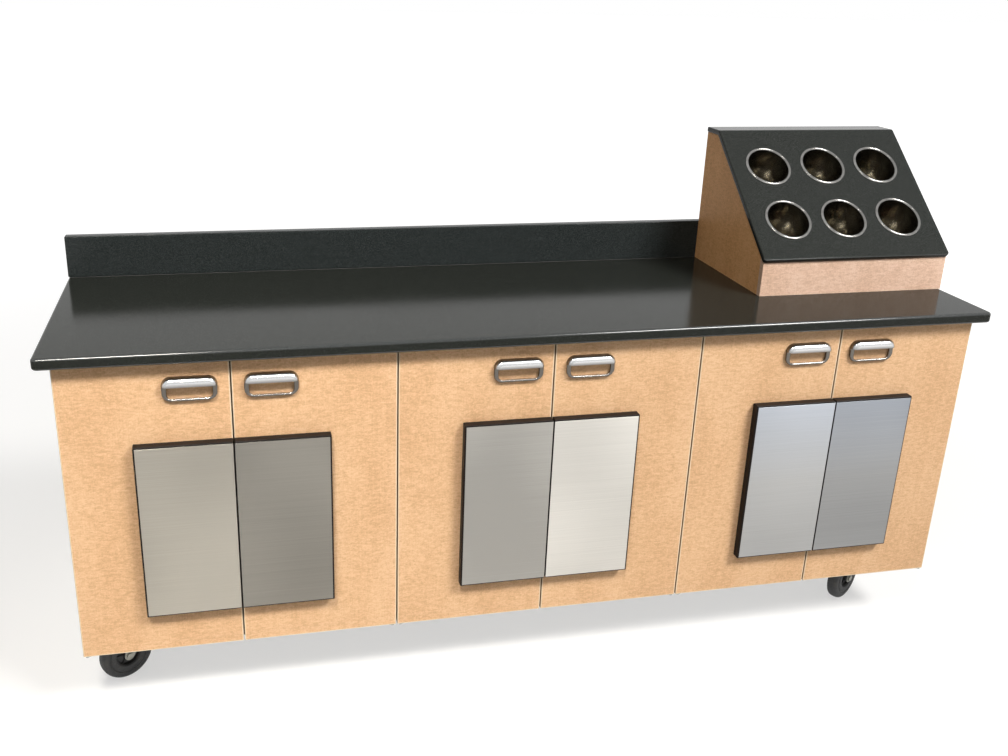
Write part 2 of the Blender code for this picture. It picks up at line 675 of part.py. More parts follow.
def caster_fork():
    """Fork with its crown, two legs and axle; the origin is on the swivel axis at the floor."""
    crown_top = CASTER_HEIGHT - FIT - PLATE_THICKNESS - RACE_HEIGHT - FIT
    inner = WHEEL_WIDTH / 2 + FORK_CLEARANCE
    stand = Matrix.Rotation(math.pi / 2, 4, "X")
    leg = extruded([fork_leg_outline()], FORK_LEG)
    legs = [
        moved(leg, Matrix.Translation((0, side * (inner + FORK_LEG / 2), 0)) @ stand) for side in (-1, 1)
    ]
    half_width = inner + FORK_LEG
    crown = boxes(
        (
            (-RACE_RADIUS * 0.9, -half_width + FORK_LEG / 2, crown_top - FORK_CROWN),
            (RACE_RADIUS * 0.75, half_width - FORK_LEG / 2, crown_top - FIT),
        )
    )
    on_axle = Matrix.Translation((-CASTER_TRAIL, 0, WHEEL_RADIUS)) @ stand
    axle = rod(AXLE_RADIUS, 2 * half_width, 12, on_axle)
    fork = united(crown, legs[0], legs[1], axle)
    for side in (-1, 1):
        head_place = on_axle @ Matrix.Translation((0, 0, side * (half_width + AXLE_HEAD / 2 - FORK_LEG / 3)))
        fork = combined(fork, rod(AXLE_HEAD_RADIUS, AXLE_HEAD, 6, head_place), "UNION")
    return fork


def caster_wheel():
    """Wheel with a grooved rubber tyre; it turns about Y and stands on one flat of its tread."""
    half = WHEEL_WIDTH / 2
    tread = WHEEL_RADIUS / math.cos(math.pi / WHEEL_SIDES)
    bore = (AXLE_RADIUS + AXLE_CLEARANCE) / math.cos(math.pi / WHEEL_SIDES)
    upper = [
        (bore, half),
        (HUB_RADIUS * 0.5, half),
        (HUB_RADIUS * 0.6, half * 0.7),
        (HUB_RADIUS, half * 0.7),
        (HUB_RADIUS * 1.1, half * 0.95),
        (tread * 0.9, half * 0.9),
        (tread, half * 0.55),
    ]
    profile = upper + [(r, -z) for r, z in reversed(upper)]
    wheel = turned(profile, WHEEL_SIDES, closed=True)
    flat_down = Matrix.Rotation(math.pi / WHEEL_SIDES, 4, "Z")
    return moved(wheel, Matrix.Rotation(math.pi / 2, 4, "X") @ flat_down)


def add_casters():
    plate = caster_plate()
    fork = caster_fork()
    wheel = caster_wheel()
    front_y = DOOR_FACE_Y + CASTER_INSET_Y
    back_y = CARCASS_BACK_Y - CASTER_INSET_Y
    side_x = CABINET_WIDTH / 2 - CASTER_INSET_X
    places = [(-side_x, front_y), (side_x, front_y), (-side_x, back_y), (side_x, back_y)]
    for number, (x, y) in enumerate(places, 1):
        add_part(f"caster_plate_{number}", plate, ZINC, location=(x, y, 0))
        swivel = add_axis(f"swivel_axis_{number}", (x, y, 0), (0, 0, CASTER_TURN))
        add_part(f"caster_fork_{number}", fork, ZINC, swivel)
        add_part(f"caster_wheel_{number}", wheel, TYRE, swivel, (-CASTER_TRAIL, 0, WHEEL_RADIUS))


add_carcass()
add_worktop()
add_bin()
add_doors()
add_casters()
bpy.data.collections.remove(HELPERS)
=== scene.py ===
"""Looks of the mobile service counter: finishes, fine forms, small fasteners and a plain studio."""

import json
import math

import bmesh
import bpy
from mathutils import Matrix, Vector


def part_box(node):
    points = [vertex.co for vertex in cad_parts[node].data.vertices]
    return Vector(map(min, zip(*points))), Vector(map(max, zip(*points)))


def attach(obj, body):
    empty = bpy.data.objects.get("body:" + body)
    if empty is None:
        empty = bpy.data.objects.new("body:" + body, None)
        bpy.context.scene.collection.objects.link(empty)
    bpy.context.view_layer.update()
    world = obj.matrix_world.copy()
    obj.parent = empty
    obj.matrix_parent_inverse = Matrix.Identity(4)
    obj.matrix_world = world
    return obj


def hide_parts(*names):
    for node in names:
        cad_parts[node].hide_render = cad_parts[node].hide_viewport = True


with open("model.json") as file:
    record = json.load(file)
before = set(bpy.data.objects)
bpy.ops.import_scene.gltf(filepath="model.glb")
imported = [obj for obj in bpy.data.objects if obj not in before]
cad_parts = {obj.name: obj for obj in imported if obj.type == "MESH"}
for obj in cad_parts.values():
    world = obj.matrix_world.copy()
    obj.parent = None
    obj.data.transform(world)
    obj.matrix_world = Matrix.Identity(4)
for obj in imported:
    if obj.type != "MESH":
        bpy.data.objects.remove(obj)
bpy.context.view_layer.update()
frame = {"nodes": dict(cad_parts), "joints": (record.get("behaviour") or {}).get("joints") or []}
JOINTS = {joint["name"]: joint for joint in frame["joints"]}
DOORS = range(1, 7)
CYLINDERS = range(1, 7)
CASTERS = range(1, 5)

# Photograph's camera, in a frame of 1008 by 756 pixels
IMAGE_WIDTH = 1008
IMAGE_HEIGHT = 756
FOCAL_PIXELS = 1033.6
PRINCIPAL_X = 462.2
PRINCIPAL_Y = 350.1
CAMERA_PLACE = (-0.6744, -2.2841, 1.5831)
CAMERA_YAW = 0.2271
CAMERA_PITCH = -0.3512
CAMERA_ROLL = 0.0282
SENSOR_WIDTH = 36.0

# Studio
FLOOR_REACH = 40.0
FLOOR_DROP = 0.0005
FLOOR_GREY = (0.45, 0.45, 0.445, 1.0)
FLOOR_ROUGHNESS = 0.9
GLOW_DISTANCES = (1.4, 5.0)
GLOW_LEVELS = (0.55, 1.0)
SOFT_LIGHT = (1.0, 0.955, 0.90, 1.0)
SOFT_STRENGTH = 0.14
WHITE = (1.0, 1.0, 1.0, 1.0)

# Worktop, upstand and bin top
TOP_EDGE = 0.006
TOP_CORNER = 0.012
UPSTAND_EDGE = 0.003
SLAB = 0.0127
SLAB_EDGE = 0.003
SLAB_CORNER = 0.008
SLAB_CREASE = 0.010
HOLE_RADIUS = 0.0565
BEAD = 0.0015
BEAD_SINK = 0.35
BEAD_END_INSET = 0.004

# Cup pulls
PULL_WIDTH = 0.1115
PULL_HEIGHT = 0.053
PULL_DEPTH = 0.017
PULL_END = 0.019
PULL_WALL = 0.0025
PULL_HOOD = 0.0188
PULL_ROUND = 0.0115
PULL_BAR = 0.0055
PULL_SIDE = 0.010
PULL_CORNER = 0.010
PULL_FRAME_DEPTH = 0.007
PULL_FRAME_EDGE = 0.0022
PULL_FRAME_INSET = 0.0003
# Where the pulls' painted highlight lies
PULL_HIGHLIGHT_DEPTHS = (-0.0075, -0.0140)
PULL_HIGHLIGHT_RISE = 0.008
PULL_LOWEST_HIGHLIGHT = 0.14
PULL_LEDGE_DROP = 0.004
PULL_LEDGE_TURNS = (0.25, 0.75)
PULL_LEDGE_HIGHLIGHT = 0.6

# Utensil cylinders
RIM_RADIUS = 0.0605
RIM_HEIGHT = 0.004
MOUTH_RADIUS = 0.0525
BODY_RADIUS = 0.0545
BASE_RADIUS = 0.0485
CYLINDER_DEPTH = 0.130
CYLINDER_WALL = 0.0015
NECK_EASE = 0.0006
BASE_ROUND = 0.006
INNER_DOME = (0.0015, 0.0011)
OUTER_DOME = (0.0006, 0.0004)
RIM_SHADE_DEPTH = 0.0015
ROLL_STEPS = 12

# Casters
WHEEL_RADIUS = 0.0625
AXLE_RADIUS = 0.0055
TRAIL = 0.035
FORK_GAP = 0.0175
FORK_LEG = 0.003
FORK_TOP = 0.1444
FORK_EYE = 0.012
FORK_FRONT = 0.0208
FORK_BACK = 0.026
FORK_SHOULDER = 0.006
FORK_SHOULDER_DROP = 0.021
FORK_EDGE = 0.0006
CROWN_FRONT = 0.0195
CROWN_BACK = 0.0234
CROWN_DEPTH = 0.005
CROWN_TOP_DROP = 0.0003
CROWN_SIDE_INSET = 0.001
CROWN_EDGE = 0.0008
AXLE_PLAY = 0.0005
NUT_RADIUS = 0.0084
NUT_HEIGHT = 0.0039
NUT_EDGE = 0.0005
RIBS = 6
RIB_ENDS = (0.0110, 0.0272)
RIB_HALF_WIDTH = 0.0010
RIB_HALF_HEIGHT = 0.0092
PLATE_THICKNESS = 0.003
BOLT_SPREAD = (0.037, 0.0235)
BOLT_RADIUS = 0.0058
BOLT_BOTTOM = 0.0048
BOLT_EDGE = 0.0004
WASHER_RADIUS = 0.0075
WASHER_THICKNESS = 0.0012
JOINED = 0.0002

# Doors and small hardware
BAND = 0.0024
SHEET_EDGE = 0.0004
SCREW_RADIUS = 0.0042
PULL_SCREW_REACH = 0.032
SHEET_SCREW_INSET_X = 0.03
SHEET_SCREW_INSET_Z = 0.05
BUMPER_INSET_X = 0.02
BUMPER_INSET_Z = 0.009
BUMPER_RADIUS = 0.0045
BUMPER_ROUND = 0.002
BUMPER_FOOT = 0.0002
BUMPER_RISE = 0.00195

# Inside and back of the cabinet
PEG_MARGIN = 0.0005
PIVOT_MARGIN = 0.0002
SHELF_CLEARANCE = 0.002
SLEEVE_RADIUS = 0.0042
SLEEVE_LIP = 0.0034
SLEEVE_BORE = 0.0026
SLEEVE_HEIGHTS = (0.0005, 0.0006, 0.0002)
SLEEVE_BOTTOM = 0.00018
SLEEVE_PITCH = 0.032
SLEEVE_STEPS = (-4, -3, -2, -1, 2, 3, 4, 5)
SLEEVE_DROP = 0.0038
SLEEVE_FRONT_INSET = 0.03
SLEEVE_BACK_INSET = 0.058
SLEEVE_FOOT = 0.00005
BACK_SCREW_ENDS = 0.03
BACK_SCREW_INSET_X = 0.009
BACK_SCREW_INSET_Z = 0.0095
BACK_SCREW_STEPS = 12
BACK_SCREW_HEIGHTS = (0.30, 0.43, 0.56, 0.69)

# Colours, and tints that multiply them; the bin, steel, worktop, upstand and slope tints are painted light
MAPLE_DARK = (0.655, 0.395, 0.215)
MAPLE_MID = (0.765, 0.480, 0.270)
MAPLE_LIGHT = (0.84, 0.560, 0.338)
MAPLE_PORE = (0.50, 0.29, 0.155)
# Door edge band, made paler as a painted highlight, and painted shade for the door edges in the gaps
EDGE_BAND_AND_HIGHLIGHT = (0.88, 0.71, 0.51)
DOOR_GAP_SHADE = (0.30, 0.17, 0.085)
MELAMINE = (0.74, 0.71, 0.65)
# Painted shade for board edges behind the doors
SHADED_EDGE = (0.16, 0.095, 0.05)
METAL_GREY = (0.42, 0.42, 0.43)
CHARCOAL_BLACK = (0.009, 0.0108, 0.0108)
CHARCOAL_GREY = (0.0192, 0.0222, 0.0218)
CHARCOAL_PALE = (0.053, 0.059, 0.058)
CHARCOAL_SPECK = (0.070, 0.074, 0.072)
STEEL_DULL = (0.40, 0.387, 0.360)
STEEL_BRIGHT = (0.60, 0.580, 0.540)
# Painted cool reflection and painted sheen for the steel sheets
STEEL_COOL_REFLECTION = (-0.06, 0.0, 0.12)
STEEL_PAINTED_SHEEN = (1.07, 1.14, 1.27)
NO_TINT = (1, 1, 1)
# Painted light on the bin's maple: a warm cast on its sides and back, a cool sheen on its front
BIN_SIDE_PAINTED_WARM_LIGHT = (1.12, 0.95, 0.73)
BIN_FRONT_PAINTED_SHEEN = (1.08, 1.18, 1.55)
# Painted light on the charcoal: a warm reflection on the worktop, a cool cast on the upstand, a lighter
# cast on the slope
WORKTOP_PAINTED_REFLECTION = (0.82, 0.80, 0.70)
UPSTAND_PAINTED_COOL_LIGHT = (1.16, 1.22, 1.25)
SLOPE_PAINTED_LIGHT = (1.12, 1.09, 1.02)
RUBBER_DARK = (0.034, 0.035, 0.038)
RUBBER_LIGHT = (0.062, 0.064, 0.068)
RUBBER_DUST = (0.09, 0.088, 0.084)
HUB_BLACK = (0.016, 0.016, 0.016)
SEALANT_BLACK = (0.015, 0.0155, 0.015)
BUMPER_WHITE = (0.72, 0.71, 0.68)
# Painted shade for the shelf-pin bores
BORE_PAINTED_SHADE = (0.02, 0.02, 0.02)

# Darker and lighter tone of the mottled finishes; the nickel pair is painted shade and painted highlight,
# and the cylinder's rim and inside tones are painted shade
NICKEL_PAINTED_SHADE = ((0.125, 0.112, 0.098), (0.180, 0.163, 0.145))
NICKEL_PAINTED_HIGHLIGHT = ((0.58, 0.58, 0.58), (0.70, 0.70, 0.70))
CYLINDER_RIM_SHADE = ((0.17, 0.165, 0.155), (0.30, 0.295, 0.285))
CYLINDER_OUTSIDE = ((0.44, 0.43, 0.41), (0.60, 0.59, 0.57))
CYLINDER_INSIDE_SHADE = ((0.24, 0.22, 0.18), (0.40, 0.38, 0.33))
EDGING_TONES = ((0.006, 0.0045, 0.004), (0.016, 0.011, 0.009))
ZINC_TONES = ((0.20, 0.20, 0.175), (0.33, 0.325, 0.29))

# Painted reflection on each steel sheet: its brightness, and its cast from warm to cool, left to right
SHEET_REFLECTION_TONES = (0.79, 0.485, 0.83, 1.18, 0.86, 0.61)
SHEET_REFLECTION_COOLNESS = (-0.55, -0.4, 0.0, 0.0, 0.5, 0.6)

# Shine, and how far a face has to turn to an axis
MAPLE_GLOSS = 0.18
MAPLE_GRAIN_HEIGHT = 0.00006
CHARCOAL_GLOSS = 0.087
POLISHED_GLOSS = 0.60
EDGING_GLOSS = 0.12
SQUARE_ON = 0.9
POLISHED_TURN = 0.2
SLAB_FACE_TURN = 0.3


def smoothed(mesh, angle=35):
    mesh.shade_smooth()
    mesh.set_sharp_from_angle(angle=math.radians(angle))
    return mesh


def mesh_of(bm):
    """A mesh from a bmesh, with its normals outwards."""
    bmesh.ops.recalc_face_normals(bm, faces=bm.faces)
    mesh = bpy.data.meshes.new("piece")
    bm.to_mesh(mesh)
    bm.free()
    return mesh


def baked(obj):
    """The object's mesh with its modifiers applied; the object itself is removed."""
    graph = bpy.context.evaluated_depsgraph_get()
    mesh = bpy.data.meshes.new_from_object(obj.evaluated_get(graph))
    bpy.data.objects.remove(obj, do_unlink=True)
    return mesh


def working(data):
    made = bpy.data.objects.new("working", data)
    bpy.context.scene.collection.objects.link(made)
    return made


def bevelled(mesh, radius, steps, angle=30):
    """The mesh with round edges, and normals that keep its large faces flat."""
    obj = working(smoothed(mesh, 180))
    bevel = obj.modifiers.new("round_edges", "BEVEL")
    bevel.width = radius
    bevel.segments = steps
    bevel.limit_method = "ANGLE"
    bevel.angle_limit = math.radians(angle)
    bevel.use_clamp_overlap = False
    obj.modifiers.new("flat_faces", "WEIGHTED_NORMAL").weight = 100
    return baked(obj)


def flat_shaded(mesh, angle=40):
    """Smooth shading on round edges that keeps the large faces flat and the sharp edges sharp."""
    obj = working(smoothed(mesh, angle))
    weighted = obj.modifiers.new("flat_faces", "WEIGHTED_NORMAL")
    weighted.weight = 100
    weighted.keep_sharp = True
    return baked(obj)


def combined(mesh, other, operation):
    """The first mesh after a Boolean with the second."""
    target = working(mesh)
    tool = working(other)
    boolean = target.modifiers.new("boolean", "BOOLEAN")
    boolean.operation = operation
    boolean.solver = "EXACT"
    boolean.object = tool
    result = baked(target)
    bpy.data.objects.remove(tool, do_unlink=True)
    return result


def moved(mesh, matrix):
    made = mesh.copy()
    made.transform(matrix)
    if matrix.determinant() < 0:
        made.flip_normals()
    return made


def gathered(meshes):
    """Several meshes as one."""
    bm = bmesh.new()
    for mesh in meshes:
        bm.from_mesh(mesh)
    mesh = bpy.data.meshes.new("gathered")
    bm.to_mesh(mesh)
    bm.free()
    return mesh


def block(low, high):
    bm = bmesh.new()
    middle = (Vector(low) + Vector(high)) / 2
    size = Vector(high) - Vector(low)
    bmesh.ops.create_cube(bm, size=1.0, matrix=Matrix.LocRotScale(middle, None, size))
    return mesh_of(bm)


def turned(profile, steps=96, closed=False):
    """A profile of (radius, height) points turned about Z; a point of no radius is a pole."""
    bm = bmesh.new()
    rings = []
    for radius, height in profile:
        count = 1 if radius == 0 else steps
        angles = [2 * math.pi * i / steps for i in range(count)]
        rings.append([bm.verts.new((radius * math.cos(a), radius * math.sin(a), height)) for a in angles])
    pairs = list(zip(rings, rings[1:]))
    if closed:
        pairs.append((rings[-1], rings[0]))
    for lower, upper in pairs:
        for i in range(steps):
            j = (i + 1) % steps
            corners = [ring[k % len(ring)] for ring, k in ((lower, i), (lower, j), (upper, j), (upper, i))]
            bm.faces.new(list(dict.fromkeys(corners)))
    return mesh_of(bm)


def slug(radius, start, end, steps):
    """A round or many-sided slug about Z, from one height to another."""
    return turned([(0.0, start), (radius, start), (radius, end), (0.0, end)], steps)


def arc(centre_x, centre_y, radius, start, end, steps):
    """Points along an arc between two angles in degrees."""
    angles = [math.radians(start + (end - start) * i / steps) for i in range(steps + 1)]
    return [(centre_x + radius * math.cos(a), centre_y + radius * math.sin(a)) for a in angles]


def rounded_rectangle(width, height, radius, steps=12):
    x = width / 2 - radius
    y = height / 2 - radius
    outline = []
    for centre_x, centre_y, start in ((x, y, 0), (-x, y, 90), (-x, -y, 180), (x, -y, 270)):
        outline += arc(centre_x, centre_y, radius, start, start + 90, steps)
    return outline


def plate(outlines, thickness, edge=0.0, edge_steps=5):
    """Flat outlines in XY with round edges, centred on Z = 0; an outline inside another is a hole."""
    curve = bpy.data.curves.new("outline", "CURVE")
    curve.dimensions = "2D"
    curve.fill_mode = "BOTH"
    curve.extrude = thickness / 2 - edge
    curve.bevel_depth = edge
    curve.bevel_resolution = edge_steps - 1
    curve.offset = -edge
    for outline in outlines:
        spline = curve.splines.new("POLY")
        spline.points.add(len(outline) - 1)
        for point, (x, y) in zip(spline.points, outline):
            point.co = (x, y, 0.0, 1.0)
        spline.use_cyclic_u = True
    mesh = baked(working(curve))
    bm = bmesh.new()
    bm.from_mesh(mesh)
    bmesh.ops.remove_doubles(bm, verts=bm.verts, dist=1e-6)
    return mesh_of(bm)


def add_piece(name, mesh, material, body, replaced=(), place=Matrix.Identity(4)):
    """A piece of the object that rides on a CAD body and may stand for CAD nodes."""
    if material.name not in mesh.materials:
        mesh.materials.clear()
        mesh.materials.append(material)
    obj = bpy.data.objects.new(name, mesh)
    bpy.context.scene.collection.objects.link(obj)
    obj.matrix_world = place
    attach(obj, body)
    if replaced:
        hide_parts(*replaced)
    return obj


class Finish:
    """A material whose colour, roughness and relief come from procedural nodes."""

    def __init__(self, name, roughness, metallic=0.0, **sockets):
        self.material = bpy.data.materials.new(name)
        self.material.use_nodes = True
        self.tree = self.material.node_tree
        self.shader = self.tree.nodes["Principled BSDF"]
        self.shader.inputs["Roughness"].default_value = roughness
        self.shader.inputs["Metallic"].default_value = metallic
        for socket, value in sockets.items():
            title = socket.replace("_", " ").title().replace("Ior", "IOR")
            self.shader.inputs[title].default_value = value
        self.coordinates = self.tree.nodes.new("ShaderNodeTexCoord")

    def node(self, kind, values=None, **settings):
        """A node with its settings and its input values; an output socket as a value becomes a link."""
        made = self.tree.nodes.new("ShaderNode" + kind)
        for setting, value in settings.items():
            setattr(made, setting, value)
        for key, value in (values or {}).items():
            if isinstance(value, bpy.types.NodeSocket):
                self.tree.links.new(value, made.inputs[key])
            else:
                made.inputs[key].default_value = value
        return made

    def feed(self, socket, output):
        self.tree.links.new(output, self.shader.inputs[socket])

    def math(self, operation, first, second=0.0):
        return self.node("Math", {0: first, 1: second}, operation=operation).outputs[0]

    def shifted(self):
        """Object coordinates with an offset of each object's own, so that no two boards match."""
        chance = self.node("ObjectInfo").outputs["Random"]
        offset = self.node("CombineXYZ", {0: chance, 1: chance, 2: self.math("MULTIPLY", chance, 7.0)})
        added = {0: self.coordinates.outputs["Object"], 1: offset.outputs[0]}
        return self.node("VectorMath", added, operation="ADD").outputs[0]

    def noise(self, scale, detail=2.0, source=None, distortion=0.0):
        """Noise with a frequency per metre along each axis."""
        source = source or self.coordinates.outputs["Object"]
        stretched = self.node("Mapping", {"Vector": source, "Scale": scale}).outputs[0]
        values = {"Vector": stretched, "Scale": 1.0, "Detail": detail, "Distortion": distortion}
        return self.node("TexNoise", values).outputs["Fac"]

    def ramp(self, factor, *stops):
        made = self.node("ValToRGB", {"Fac": factor})
        elements = made.color_ramp.elements
        while len(elements) < len(stops):
            elements.new(0.5)
        for element, (position, colour) in zip(elements, stops):
            element.position = position
            element.color = (*colour, 1.0)
        return made.outputs["Color"]

    def tones(self, factor, dark, light):
        """A soft mottle between two tones."""
        return self.ramp(factor, (0.3, dark), (0.7, light))

    def mix(self, factor, first, second, blend="MIX"):
        """A mix of two colours, each an output socket or three numbers."""
        values = {0: factor}
        for index, colour in ((6, first), (7, second)):
            values[index] = colour if isinstance(colour, bpy.types.NodeSocket) else (*colour, 1.0)
        return self.node("Mix", values, data_type="RGBA", blend_type=blend).outputs[2]

    def rough(self, factor, low, high):
        values = {"Value": factor, "To Min": low, "To Max": high}
        self.feed("Roughness", self.node("MapRange", values).outputs[0])

    def relief(self, height, distance):
        values = {"Height": height, "Distance": distance, "Strength": 1.0}
        self.feed("Normal", self.node("Bump", values).outputs[0])

    def place(self, axis, kind="Object"):
        """The surface point along X, Y or Z, before the object moves."""
        return self.node("SeparateXYZ", {0: self.coordinates.outputs[kind]}).outputs[axis]

    def normal(self, axis):
        return self.place(axis, "Normal")

    def facing(self, axis):
        """How squarely a face looks along an axis, either way."""
        return self.math("ABSOLUTE", self.normal(axis))


def tinted(colour, tint):
    """A colour with each of its parts multiplied."""
    return tuple(part * share for part, share in zip(colour, tint))


def maple_colour(finish, tint=NO_TINT):
    """Colour and tone of flecks and streaks along the grain, faint ripples across it, pores and patches."""
    source = finish.shifted()
    fleck = finish.noise((330, 330, 270), 3.0, source, 0.6)
    ripple = finish.noise((72, 72, 205), 2.0, source, 1.0)
    grain = finish.noise((420, 420, 14), 2.0, source)
    patch = finish.noise((11, 11, 4), 2.0, source)
    tone = finish.math("MULTIPLY", fleck, 0.38)
    tone = finish.math("ADD", tone, finish.math("MULTIPLY", ripple, 0.48))
    tone = finish.math("ADD", tone, finish.math("MULTIPLY", grain, 0.14))
    tone = finish.math("ADD", tone, finish.math("MULTIPLY", finish.math("SUBTRACT", patch, 0.5), 0.26))
    dark, middle, light = (tinted(colour, tint) for colour in (MAPLE_DARK, MAPLE_MID, MAPLE_LIGHT))
    colour = finish.ramp(tone, (0.385, dark), (0.50, middle), (0.615, light))
    pore = finish.noise((520, 520, 230), 1.0, source)
    pores = finish.ramp(pore, (0.72, (0, 0, 0)), (0.80, (0.8, 0.8, 0.8)))
    return finish.mix(pores, colour, MAPLE_PORE), tone


def maple_laminate(name, tint):
    finish = Finish(name, 0.5, specular_ior_level=MAPLE_GLOSS)
    colour, tone = maple_colour(finish, tint)
    finish.feed("Base Color", colour)
    finish.rough(tone, 0.42, 0.58)
    finish.relief(tone, MAPLE_GRAIN_HEIGHT)
    return finish.material


def edge_mask(finish, axis, low, high, width):
    """1 within a width of either end of a piece along one axis."""
    place = finish.place(axis)
    near_low = finish.math("LESS_THAN", place, low + width)
    near_high = finish.math("GREATER_THAN", place, high - width)
    return finish.math("MAXIMUM", near_low, near_high)


def door_laminate(number):
    """Maple face framed by the door's edge band, made paler as a painted highlight; the side edges in the
    gaps between doors are painted shade.
    """
    finish = Finish(f"maple_door_{number}", 0.5, specular_ior_level=MAPLE_GLOSS)
    colour, tone = maple_colour(finish)
    low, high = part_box(f"door_{number}")
    # The edge band on the face, lightened as a painted highlight
    across = edge_mask(finish, "X", low.x, high.x, BAND)
    upright = edge_mask(finish, "Z", low.z, high.z, BAND)
    face = finish.mix(finish.math("MAXIMUM", across, upright), colour, EDGE_BAND_AND_HIGHLIGHT)
    # Painted shade on the side edges between doors, where the gaps fall in shade
    cabinet_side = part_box("right_end_panel")[1].x - BAND
    between_doors = finish.math("LESS_THAN", finish.math("ABSOLUTE", finish.place("X")), cabinet_side)
    side = finish.math("GREATER_THAN", finish.facing("X"), SQUARE_ON)
    finish.feed("Base Color", finish.mix(finish.math("MULTIPLY", side, between_doors), face, DOOR_GAP_SHADE))
    finish.rough(tone, 0.42, 0.58)
    finish.relief(tone, MAPLE_GRAIN_HEIGHT)
    return finish.material


def melamine_colour(finish):
    speck = finish.noise((900, 900, 900), 1.0)
    return finish.ramp(speck, (0.35, tuple(0.94 * c for c in MELAMINE)), (0.6, MELAMINE))


def melamine():
    finish = Finish("pale_melamine", 0.5)
    finish.feed("Base Color", melamine_colour(finish))
    finish.relief(finish.noise((700, 700, 700), 2.0), 0.00005)
    return finish.material


def upright_board(name, low_x, high_x, outer_side=0):
    """Melamine board with metal shelf pegs past its faces, maple laminate on an outer side, and painted
    shade on its front edge.
    """
    finish = Finish(name, 0.45)
    inside = melamine_colour(finish)
    colour = inside
    if outer_side:
        maple, tone = maple_colour(finish)
        inner = finish.math("GREATER_THAN", finish.math("MULTIPLY", finish.normal("X"), -outer_side), 0.5)
        colour = finish.mix(inner, maple, inside)
        finish.relief(tone, MAPLE_GRAIN_HEIGHT)
    # Painted shade on the front edge, which sits in shade behind the doors
    front_edge = finish.math("LESS_THAN", finish.normal("Y"), -SQUARE_ON)
    colour = finish.mix(front_edge, colour, SHADED_EDGE)
    peg = edge_mask(finish, "X", low_x, high_x, -PEG_MARGIN)
    finish.feed("Base Color", finish.mix(peg, colour, METAL_GREY))
    finish.feed("Metallic", peg)
    return finish.material


def rail_board(name, front_y):
    """Melamine board with metal door pivots in front of its front edge, and painted shade on the edges that
    face front and back.
    """
    finish = Finish(name, 0.45)
    pivot = finish.math("LESS_THAN", finish.place("Y"), front_y)
    # Painted shade on the edges that face front and back
    front_edge = finish.math("GREATER_THAN", finish.facing("Y"), SQUARE_ON)
    colour = finish.mix(front_edge, melamine_colour(finish), SHADED_EDGE)
    finish.feed("Base Color", finish.mix(pivot, colour, METAL_GREY))
    finish.feed("Metallic", pivot)
    return finish.material


def solid_surface(name, gloss, tint):
    """Charcoal filled acrylic with fine grey and black specks, under a tint of painted light."""
    finish = Finish(name, 0.14, specular_ior_level=gloss)
    fine = finish.noise((1150, 1150, 1150), 1.0)
    coarse = finish.noise((620, 620, 620), 1.0)
    black, grey, pale = (tinted(c, tint) for c in (CHARCOAL_BLACK, CHARCOAL_GREY, CHARCOAL_PALE))
    base = finish.ramp(fine, (0.36, black), (0.50, grey), (0.70, pale))
    grain = finish.ramp(coarse, (0.64, (0, 0, 0)), (0.74, (1, 1, 1)))
    finish.feed("Base Color", finish.mix(grain, base, CHARCOAL_SPECK))
    wear = finish.noise((5, 5, 5), 2.0)
    finish.rough(wear, 0.10, 0.18)
    finish.relief(fine, 0.00002)
    return finish.material


def brushed_steel(number):
    """Stainless sheet with its brush lines level, a painted reflection of its own brightness and cast, and
    on the right-hand sheets a painted sheen towards the top.
    """
    # Painted reflection: this sheet's brightness and warm or cool cast
    reflection_tone = SHEET_REFLECTION_TONES[number - 1]
    reflection_coolness = SHEET_REFLECTION_COOLNESS[number - 1]
    finish = Finish(f"brushed_stainless_{number}", 0.34, 1.0, anisotropic=0.55, anisotropic_rotation=0.25)
    source = finish.shifted()
    lines = finish.noise((9, 9, 5200), 2.0, source)
    streak = finish.noise((2.5, 2.5, 800), 2.0, source)
    haze = finish.noise((2.4, 2.4, 2.0), 1.0, source)
    fine = finish.math("MULTIPLY", finish.math("ADD", lines, streak), 0.5)
    tone = finish.math("ADD", finish.math("MULTIPLY", fine, 0.30), finish.math("MULTIPLY", haze, 0.70))
    tint = tuple(reflection_tone * (1 + reflection_coolness * c) for c in STEEL_COOL_REFLECTION)
    colour = finish.ramp(tone, (0.36, tinted(STEEL_DULL, tint)), (0.64, tinted(STEEL_BRIGHT, tint)))
    # Painted sheen, cooler and brighter towards the top of the sheet
    if reflection_coolness > 0:
        low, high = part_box(f"panel_face_{number}")
        height = {"Value": finish.place("Z"), "From Min": (low.z + high.z) / 2, "From Max": high.z}
        colour = finish.mix(finish.node("MapRange", height).outputs[0], colour, STEEL_PAINTED_SHEEN, "MULTIPLY")
    finish.feed("Base Color", colour)
    finish.rough(tone, 0.24, 0.44)
    finish.relief(lines, 0.00002)
    return finish.material


